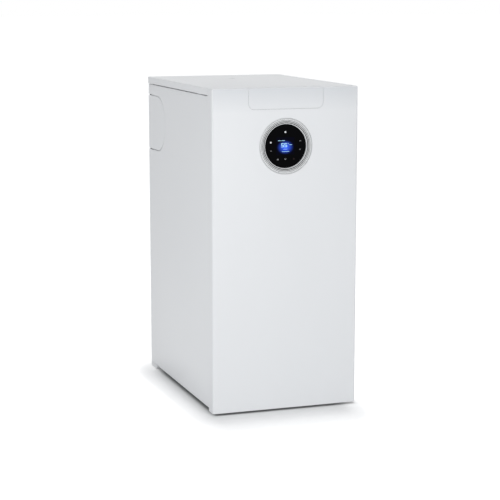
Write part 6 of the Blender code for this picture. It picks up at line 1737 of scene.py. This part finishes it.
def makeLever():
    x, z, face = gas["x"], gas["cockMiddle"], -0.1887
    outline = arcOf((x, z), 0.0058, 0, 180, 20) + arcOf((x, z - 0.049), 0.0058, 180, 360, 20)
    lever = soften(plateOf("cockLeverArm", outline, 1, face - 0.0024, face), 0.0006, 3, 50)
    outline = arcOf((x, z - 0.02), 0.0046, 0, 180, 12) + arcOf((x, z - 0.048), 0.0046, 180, 360, 12)
    grip = soften(plateOf("grip", outline, 1, face - 0.0028, face - 0.002), 0.0003, 1)
    spindle = roundBar("spindle", (x, face - 0.001, z), plusY, 0.0038, 0.0068, 28)
    profile = mm((3.8, 0), (3.8, 0.4), (3.3, 0.7), (1.8, 0.7))
    nut = turned("nut", (x, face - 0.0022, z), minusY, profile, 6)
    return welded(lever, grip, spindle, nut)


def makeGasPipe():
    x, y = gas["x"], gas["y"]
    corners = [(x, y, gas["cockLow"] - 0.0004), (x, y, gas["run"]), (x, 0.3, gas["run"])]
    return bentPipe("gasInletTube", corners, 0.03, 0.0108, 0.0012, 48, 16)


dress(makeFeed(), "brushedSteel", "gas_feed_pipe")
dress(makeValve(), "castAlloy", "gas_valve")
dress(makeCoils(), "mouldedBlack")
dress(makeCock(), "machinedBrass", "gas_cock")
dress(makeLever(), "safetyYellow", "gas_cock_lever", "cock_lever")
dress(makeGasPipe(), "drawnCopper", "gas_inlet_pipe")
union = hexNut("gasUnionNut", (gas["x"], gas["y"], 0.194), plusZ, 0.0148, 0.0111, 0.014)
dress(union, "machinedBrass")
print("gas line")


# Flue: collector, riser, adaptor and elbows
flue = {"y": 0.209, "axis": 0.722, "radius": 0.04, "low": 0.65, "adaptorLow": 0.5947}


def sumpOutline(corner):
    outline = []
    for x, y, first in ((-0.05, 0.009, 180), (0.05, 0.009, 270), (0.05, 0.239, 0), (-0.05, 0.239, 90)):
        outline += arcOf((x, y), corner, first, first + 90, 10)
    return outline


def makeCollector():
    sump = soften(plateOf("flueSump", sumpOutline(0.02), 2, 0.225, 0.285), 0.004, 4, 50)
    cutters = [plateOf("inside", sumpOutline(0.017), 2, 0.228, 0.282)]
    cutters.append(roundBar("neck", (0, 0.04, 0.27), plusZ, 0.0383, 0.03, 64))
    cutters.append(roundBar("riser", (0, 0.209, 0.27), plusZ, 0.037, 0.03, 64))
    cutters.append(roundBar("drain", (0, 0.095, 0.236), minusZ, 0.0062, 0.03, 32))
    carve(sump, *cutters)
    profile = mm((44, 0), (44, 18), (45, 20), (45, 29), (44.2, 29.9), (41, 29.9), (40.3, 29), (40.3, 0))
    parts = [
        tubeBar("neckCollar", (0, 0.04, 0.2846), plusZ, 0.043, 0.0383, 0.0099, 64),
        turned("socket", (0, 0.209, 0.2846), plusZ, profile, 64, ring=True),
        tubeBar("drainStub", (0, 0.095, 0.2256), minusZ, 0.012, 0.0062, 0.0124, 40),
    ]
    for y in (0.1, 0.115, 0.13, 0.145):
        parts.append(softBox("rib", (-0.056, y - 0.0012, 0.2842), (0.056, y + 0.0012, 0.2868), 0.0006, 2))
    return welded(sump, *parts)


def makeRiser():
    low, high = 0.2853, 0.6494
    length, radius = high - low, flue["radius"]
    profile = [(radius - 0.0004, 0), (radius - 0.0002, 0.0006)]
    for along in (0.036, 0.272):
        profile += [(radius - 0.0002, along), (radius, along + 0.0016), (radius, along + 0.0032)]
        profile.append((radius - 0.0002, along + 0.0048))
    profile += [(radius - 0.0002, length - 0.0006), (radius - 0.0005, length), (radius - 0.0013, length)]
    profile += [(radius - 0.0015, length - 0.0004), (radius - 0.0015, 0.0004), (radius - 0.0013, 0)]
    return turned("flueRiserTube", (0, flue["y"], low), plusZ, profile, 72, ring=True)


def makeAdaptor():
    low = flue["adaptorLow"]
    profile = mm(
        (43.1, 0), (43.3, 0.4), (43.3, 23), (44.6, 27), (60, 32.5), (62.2, 34.5), (62.2, 44), (62.5, 45),
        (62.5, 53), (62, 54.9), (60, 54.9), (59.5, 54), (59.5, 36.5), (41, 30), (40.3, 29), (40.3, 0.4),
        (40.6, 0),
    )
    collar = turned("flueAdaptorCollar", (0, flue["y"], low), plusZ, profile, 88, ring=True)
    boss = tubeBar("boss", (0, 0.1665, low + 0.01), minusY, 0.0069, 0.0043, 0.0142, 32)
    ribMaker = pegMaker(2, 0.0011, low + 0.001, low + 0.0262, 0.0005)
    return welded(collar, boss, ringOf(ribMaker, "rib", (0, flue["y"], 0), 0.044, 12, 45, 2))


def makeTestCap():
    z = flue["adaptorLow"] + 0.01
    profile = mm((3.6, 0), (4, 0.5), (4, 6.6), (6.9, 7), (6.9, 12.8), (6, 13.8), (3, 13.8), (2.6, 13))
    cap = turned("flueTestPlug", (0, 0.1588, z), minusY, profile, 36)
    return welded(cap, ringOf(pegMaker(1, 0.0006, 0.1459, 0.1512, 0.0002, 1), "tooth", (0, 0, z), 0.0063, 16))


def makeElbows():
    points = [(0, flue["y"], flue["low"]), (0, flue["y"], flue["axis"]), (0, 0.2998, flue["axis"])]
    outer = bentPipe("airElbow", points, 0.066, 0.0622, 0.0014, 80, 24)
    rims = []
    for start, direction in ((points[0], plusZ), ((0, 0.2962, flue["axis"]), plusY)):
        profile = mm((62.2, 0), (62.5, 0.6), (62.5, 3), (62.2, 3.6), (61, 3.6), (61, 0))
        rims.append(turned("rim", start, direction, profile, 80, ring=True))
    dress(welded(outer, *rims), "powderWhite", "flue_elbow")
    inner = bentPipe("gasElbow", points, 0.066, 0.0398, 0.0015, 64, 24)
    profile = mm((39.6, 0), (40, 1), (40, 6.2), (39.4, 6.8), (38.6, 6.8), (38.6, 0))
    lip = turned("lip", (0, 0.293, flue["axis"]), plusY, profile, 64, ring=True)
    dress(welded(inner, lip), "mouldedWhite", "flue_inner_elbow")


dress(makeCollector(), "mouldedWhite", "flue_collector")
dress(makeRiser(), "mouldedWhite", "flue_riser")
dress(makeAdaptor(), "mouldedBlack", "flue_adaptor")
dress(makeTestCap(), "mouldedBlack", "flue_test_cap", "test_cap")
makeElbows()
print("flue")


# Condensate trap and hose
trapShape = {"y": 0.095, "low": 0.0847, "outlet": 0.165, "drop": 0.1813, "run": 0.075}


def makeTrap():
    y, low = trapShape["y"], trapShape["low"]
    profile = mm(
        (26.5, 0), (27.5, 1), (27.5, 3), (33, 6), (34, 8), (34, 19), (32.5, 20.5), (32.5, 23.5), (34, 25),
        (34, 98), (33, 101), (20.5, 118.5), (20, 121), (20, 138.5), (19, 140), (12.8, 140),
    )
    trap = turned("condensateBottle", (0, y, low), plusZ, [*profile, (0.0124, 0.139)], 64)
    carve(trap, roundBar("socket", (0, y, low + 0.142), minusZ, 0.0124, 0.015, 40))
    profile = mm((12.5, 0), (11.5, 6), (10.5, 8), (10.5, 16), (9.8, 16.9), (7, 16.9), (6.6, 12))
    outlet = turned("outlet", (0, y + 0.028, trapShape["outlet"]), plusY, profile, 36)
    gripMaker = pegMaker(2, 0.0011, low + 0.0068, low + 0.0188, 0.0004)
    return welded(trap, outlet, ringOf(gripMaker, "grip", (0, y, 0), 0.0329, 20, 0, 2))


def makeHose():
    z, drop, run = trapShape["outlet"], trapShape["drop"], trapShape["run"]
    points = [(0, 0.1404, z), (0, drop, z), (0, drop, run), (0, 0.2999, run)]
    hose = bentPipe("condensateTube", points, 0.03, 0.0107, 0.0018, 48, 16)
    profile = mm((10.6, 0), (11, 0.5), (11, 5), (10.6, 5.5))
    rings = [turned("clamp", (0, 0.1424, z), plusY, profile, 48, ring=True)]
    for number in range(22):
        profile = mm((10.4, 0), (11, 0.6), (11, 1.2), (10.4, 1.8))
        rings.append(turned("rib", (0, 0.2135 + number * 0.0036, run), plusY, profile, 40, ring=True))
    return welded(hose, *rings)


dress(makeTrap(), "mouldedGrey", "condensate_trap")
dress(makeHose(), "mouldedGrey", "condensate_hose")
print("condensate trap and hose")


# Water pipes, sensor and drain
water = {
    "x": 0.085, "y": 0.04, "flow": 0.59, "back": 0.17, "radius": 0.0138, "wall": 0.0012, "bend": 0.03,
    "probe": 0.5285, "drain": 0.2425,
}


def makeWaterPipes():
    x, y, rear = water["x"], water["y"], 0.2999
    rules = water["bend"], water["radius"], water["wall"]
    for word, spot, start, level in (("flow", x, 0.5354, water["flow"]), ("return", -x, 0.3146, water["back"])):
        corners = [(spot, y, start), (spot, y, level), (spot, rear, level)]
        dress(bentPipe(f"{word}Tube", corners, *rules, 56, 16), "drawnCopper", f"{word}_pipe")
    unions = [hexNut("waterUnions", (x, y, 0.5356), plusZ, 0.0188, 0.0141, 0.0125)]
    unions.append(hexNut("union", (-x, y, 0.3019), plusZ, 0.0188, 0.0141, 0.0125))
    for spot, z in ((x, water["flow"]), (-x, water["back"])):
        unions.append(tubeBar("olive", (spot, 0.286, z), plusY, 0.0147, 0.0141, 0.006, 48, 0.0002))
    dress(fuse(*unions), "machinedBrass")


def makeSensor():
    x, z, start = water["x"], water["probe"], 0.0196
    profile = mm((5.2, 0), (6, 0.8), (6, 6), (5.2, 6.8))
    probe = turned("flowProbe", (x, start, z), minusY, profile, 6)
    profile = mm((4.6, 0), (4.6, 5.4), (3.6, 6.4), (3.6, 14), (3, 15.8), (1.4, 15.8))
    return welded(probe, turned("stem", (x, start - 0.006, z), minusY, profile, 28))


def makeDrain():
    x, z = -water["x"], water["drain"]
    tail = roundBar("drainTap", (x, 0.0256, z), minusY, 0.0074, 0.0615, 36)
    profile = mm(
        (10.5, 0), (12, 1.5), (12, 9.5), (10.8, 10.8), (10.8, 19), (11.8, 20.5), (11.8, 28.6), (10.8, 29.8),
        (4.8, 29.8), (4.3, 29), (4.3, 19.5),
    )
    body = turned("body", (x, -0.0346, z), minusY, profile, 36)
    nozzle = mm((6.8, 0), (6.8, 8.5))
    for number in range(3):
        along = 0.01 + number * 0.0042
        nozzle += [(0.0062, along), (0.0075, along + 0.0012), (0.0062, along + 0.004)]
    nozzle += mm((5.8, 23.8), (4.2, 23.9), (3.8, 20))
    return welded(tail, body, turned("nozzle", (x, -0.05, z), minusZ, nozzle, 32))


def makeDrainSpindle():
    x, z = -water["x"], water["drain"]
    stem = mm((3.4, 0), (3.8, 0.5))
    for number in range(5):
        along = 0.0015 + number * 0.0013
        stem += [(0.0038, along), (0.0035, along + 0.0005), (0.0038, along + 0.001)]
    stem += mm((3.8, 19), (3.4, 19.8))
    pin = turned("drainPin", (x, -0.0546, z), minusY, stem, 28)
    square = addBox("square", (x - 0.0028, -0.0844, z - 0.0028), (x + 0.0028, -0.0738, z + 0.0028))
    return welded(pin, soften(square, 0.0004, 2))


makeWaterPipes()
dress(makeSensor(), "machinedBrass", "flow_sensor")
dress(makeDrain(), "machinedBrass", "drain_cock")
dress(makeDrainSpindle(), "machinedBrass", "drain_spindle", "drain_screw")
print("water pipes, sensor and drain")


# Wiring and cable gland
loom = {"x": 0.095, "top": 0.6116, "low": 0.3554, "front": -0.2465, "rear": -0.1723, "cable": 0.0024}
gland = {"x": 0.16, "z": 0.6, "rear": 0.2997}


def makeLoom():
    cables = []
    for across, back in ((-0.0026, -0.0018), (0.0026, -0.0018), (0.0, 0.0027)):
        x = loom["x"] + across
        front, rear = loom["front"] + back, loom["rear"] + back
        corners = [(x, front, loom["top"]), (x, front, 0.53 + back)]
        corners += [(x, rear, 0.44 + back), (x, rear, loom["low"])]
        cables.append(bentPipe("wiringBundle", corners, 0.04, loom["cable"], 0.0006, 20, 12))
    parts = []
    for z, y in ((0.585, loom["front"]), (0.372, loom["rear"])):
        parts.append(tubeBar("tie", (loom["x"], y, z), plusZ, 0.006, 0.0052, 0.0035, 28))
    for y, z in ((loom["front"], loom["top"] - 0.0125), (loom["rear"], loom["low"])):
        low = (loom["x"] - 0.0055, y - 0.005, z)
        parts.append(softBox("plug", low, (loom["x"] + 0.0055, y + 0.005, z + 0.012), 0.0008, 2))
    return tidyMesh(fuse(*cables, *parts), 35)


def makeGland():
    x, z = gland["x"], gland["z"]
    profile = mm(
        (9.8, 0), (9.8, 2.7), (13, 2.7), (13, 9.6), (12, 10.6), (10, 12), (9.6, 18), (8, 24.5), (5, 24.7),
        (4.4, 24), (4.4, 0.4), (5, 0),
    )
    body = turned("supplyGland", (x, gland["rear"], z), minusY, profile, 48, ring=True)
    return welded(body, ringOf(pegMaker(1, 0.0008, 0.2835, 0.288, 0.0003, 1), "grip", (x, 0, z), 0.0098, 14))


dress(makeLoom(), "blackRubber", "wiring_loom")
dress(makeGland(), "mouldedBlack", "cable_gland")
print("wiring and gland")


# Camera, light and floor
def distanceFrom(tree, low, high, stretch):
    # how far a spot of the floor lies outside a rectangle
    middle = [-(a + b) / 2 for a, b in zip(low, high)] + [0.0]
    half = [(b - a) / 2 for a, b in zip(low, high)] + [0.0]
    place = addNode(tree, "TexCoord").outputs["Object"]
    moved = addNode(tree, "VectorMath", place, middle, operation="ADD").outputs[0]
    folded = addNode(tree, "VectorMath", moved, operation="ABSOLUTE").outputs[0]
    beyond = addNode(tree, "VectorMath", folded, half, operation="SUBTRACT").outputs[0]
    outside = addNode(tree, "VectorMath", beyond, (0, 0, 0), operation="MAXIMUM").outputs[0]
    scaled = addNode(tree, "VectorMath", outside, (*stretch, 1), operation="MULTIPLY").outputs[0]
    return addNode(tree, "VectorMath", scaled, operation="LENGTH").outputs["Value"]


def makeFloor():
    clearSelection()
    bpy.ops.mesh.primitive_plane_add(size=stage["floorSize"], location=(0, 0, 0))
    floor = settle(bpy.context.object, "floor")
    paper = bpy.data.materials.new("paperFloor")
    paper.use_nodes = True
    tree = paper.node_tree
    shader = tree.nodes["Principled BSDF"]
    shader.inputs["Roughness"].default_value = 1.0
    shader.inputs["Specular IOR Level"].default_value = 0.0
    path = addNode(tree, "LightPath").outputs
    # painted shadow: only the camera sees the dark line painted on the paper under the foot of the casing
    contact = distanceFrom(tree, *stage["contactFoot"], (1, 1))
    ramp = easedRange(tree, contact, 0.0, stage["contactReach"])
    unseen = mathOf(tree, "SUBTRACT", 1.0, path["Is Camera Ray"])
    light = mathOf(tree, "MAXIMUM", ramp, unseen)
    ground = addNode(tree, "Mix", light, data_type="RGBA")
    ground.inputs[6].default_value = (*stage["under"], 1)
    ground.inputs[7].default_value = (*stage["paper"], 1)
    tree.links.new(ground.outputs[2], shader.inputs["Base Color"])
    # painted shadow: the paper's own glow is least close round the casing, where its shadow lies, and so paints
    # that shadow deeper than the lamps make it
    away = distanceFrom(tree, *stage["shadeFoot"], stage["shadeStretch"])
    total = 0.0
    for start, end, low, high in stage["lift"]:
        rise = easedRange(tree, away, start, end, low, high)
        total = mathOf(tree, "ADD", rise, total)
    direct = mathOf(tree, "MAXIMUM", path["Is Camera Ray"], path["Is Glossy Ray"])
    strength = mathOf(tree, "MULTIPLY", direct, total)
    glowing = addNode(tree, "Emission", None, strength)
    both = addNode(tree, "AddShader", shader.outputs[0], glowing.outputs[0])
    tree.links.new(both.outputs[0], tree.nodes["Material Output"].inputs[0])
    floor.data.materials.append(paper)


def makeWorld():
    world = bpy.data.worlds.new("studio")
    bpy.context.scene.world = world
    world.use_nodes = True
    tree = world.node_tree
    ambient = tree.nodes["Background"]
    ambient.inputs["Color"].default_value = (*stage["ambient"], 1)
    ambient.inputs["Strength"].default_value = stage["ambientStrength"]
    backdrop = addNode(tree, "Background", (1, 1, 1, 1), 1.0)
    path = addNode(tree, "LightPath").outputs
    direct = mathOf(tree, "MAXIMUM", path["Is Camera Ray"], path["Is Glossy Ray"])
    seen = mathOf(tree, "MAXIMUM", direct, path["Is Transmission Ray"])
    mix = addNode(tree, "MixShader", seen, ambient.outputs[0], backdrop.outputs[0])
    tree.links.new(mix.outputs[0], tree.nodes["World Output"].inputs[0])


def addLamp(name, place, target, size, power, colour=(1, 1, 1)):
    data = bpy.data.lights.new(name, "AREA")
    data.shape = "DISK"
    data.size = size
    data.energy = power
    data.color = colour
    lamp = bpy.data.objects.new(name, data)
    bpy.context.scene.collection.objects.link(lamp)
    lamp.location = place
    lamp.rotation_euler = (Vector(target) - Vector(place)).to_track_quat("-Z", "Y").to_euler()
    return lamp


stage = {
    "floorSize": 120.0, "paper": (0.92, 0.92, 0.92), "under": (0.28, 0.28, 0.28),
    "ambient": (0.96, 0.98, 1.0), "ambientStrength": 0.4385,
    # contactFoot and shadeFoot are the rectangles round which the shadow is painted on the paper
    "contactFoot": ((-0.186, -0.29), (0.197, 0.29)), "contactReach": 0.012,
    "shadeFoot": ((-0.187, -0.3), (0.14, 0.16)), "shadeStretch": (2.3, 1.0),
    "lift": ((0.01, 0.145, 0.02, 0.31), (0.13, 0.22, 0.0, 0.35)),
}
makeWorld()
makeFloor()
addLamp("keyLamp", (0.2, -3.6, 1.0), (0, 0, 0.45), 2.0, 37.4)
addLamp("fillLamp", (-1.6, -0.9, 0.7), (-0.2, -0.1, 0.45), 0.9, 5.1)
addLamp("topLamp", (0.0, 0.3, 3.6), (0, 0, 0.5), 2.6, 21)
lens = bpy.data.cameras.new("camera")
lens.lens = 112.07
lens.sensor_width = 36
lens.clip_end = 200
camera = bpy.data.objects.new("camera", lens)
bpy.context.scene.collection.objects.link(camera)
camera.location = (-1.399, -4.034, 1.0943)
camera.rotation_euler = (math.radians(90 - 9.477), 0, math.radians(-19.21))
bpy.context.scene.camera = camera
bpy.context.scene.view_settings.view_transform = "Standard"
print("stage, lamps and camera")
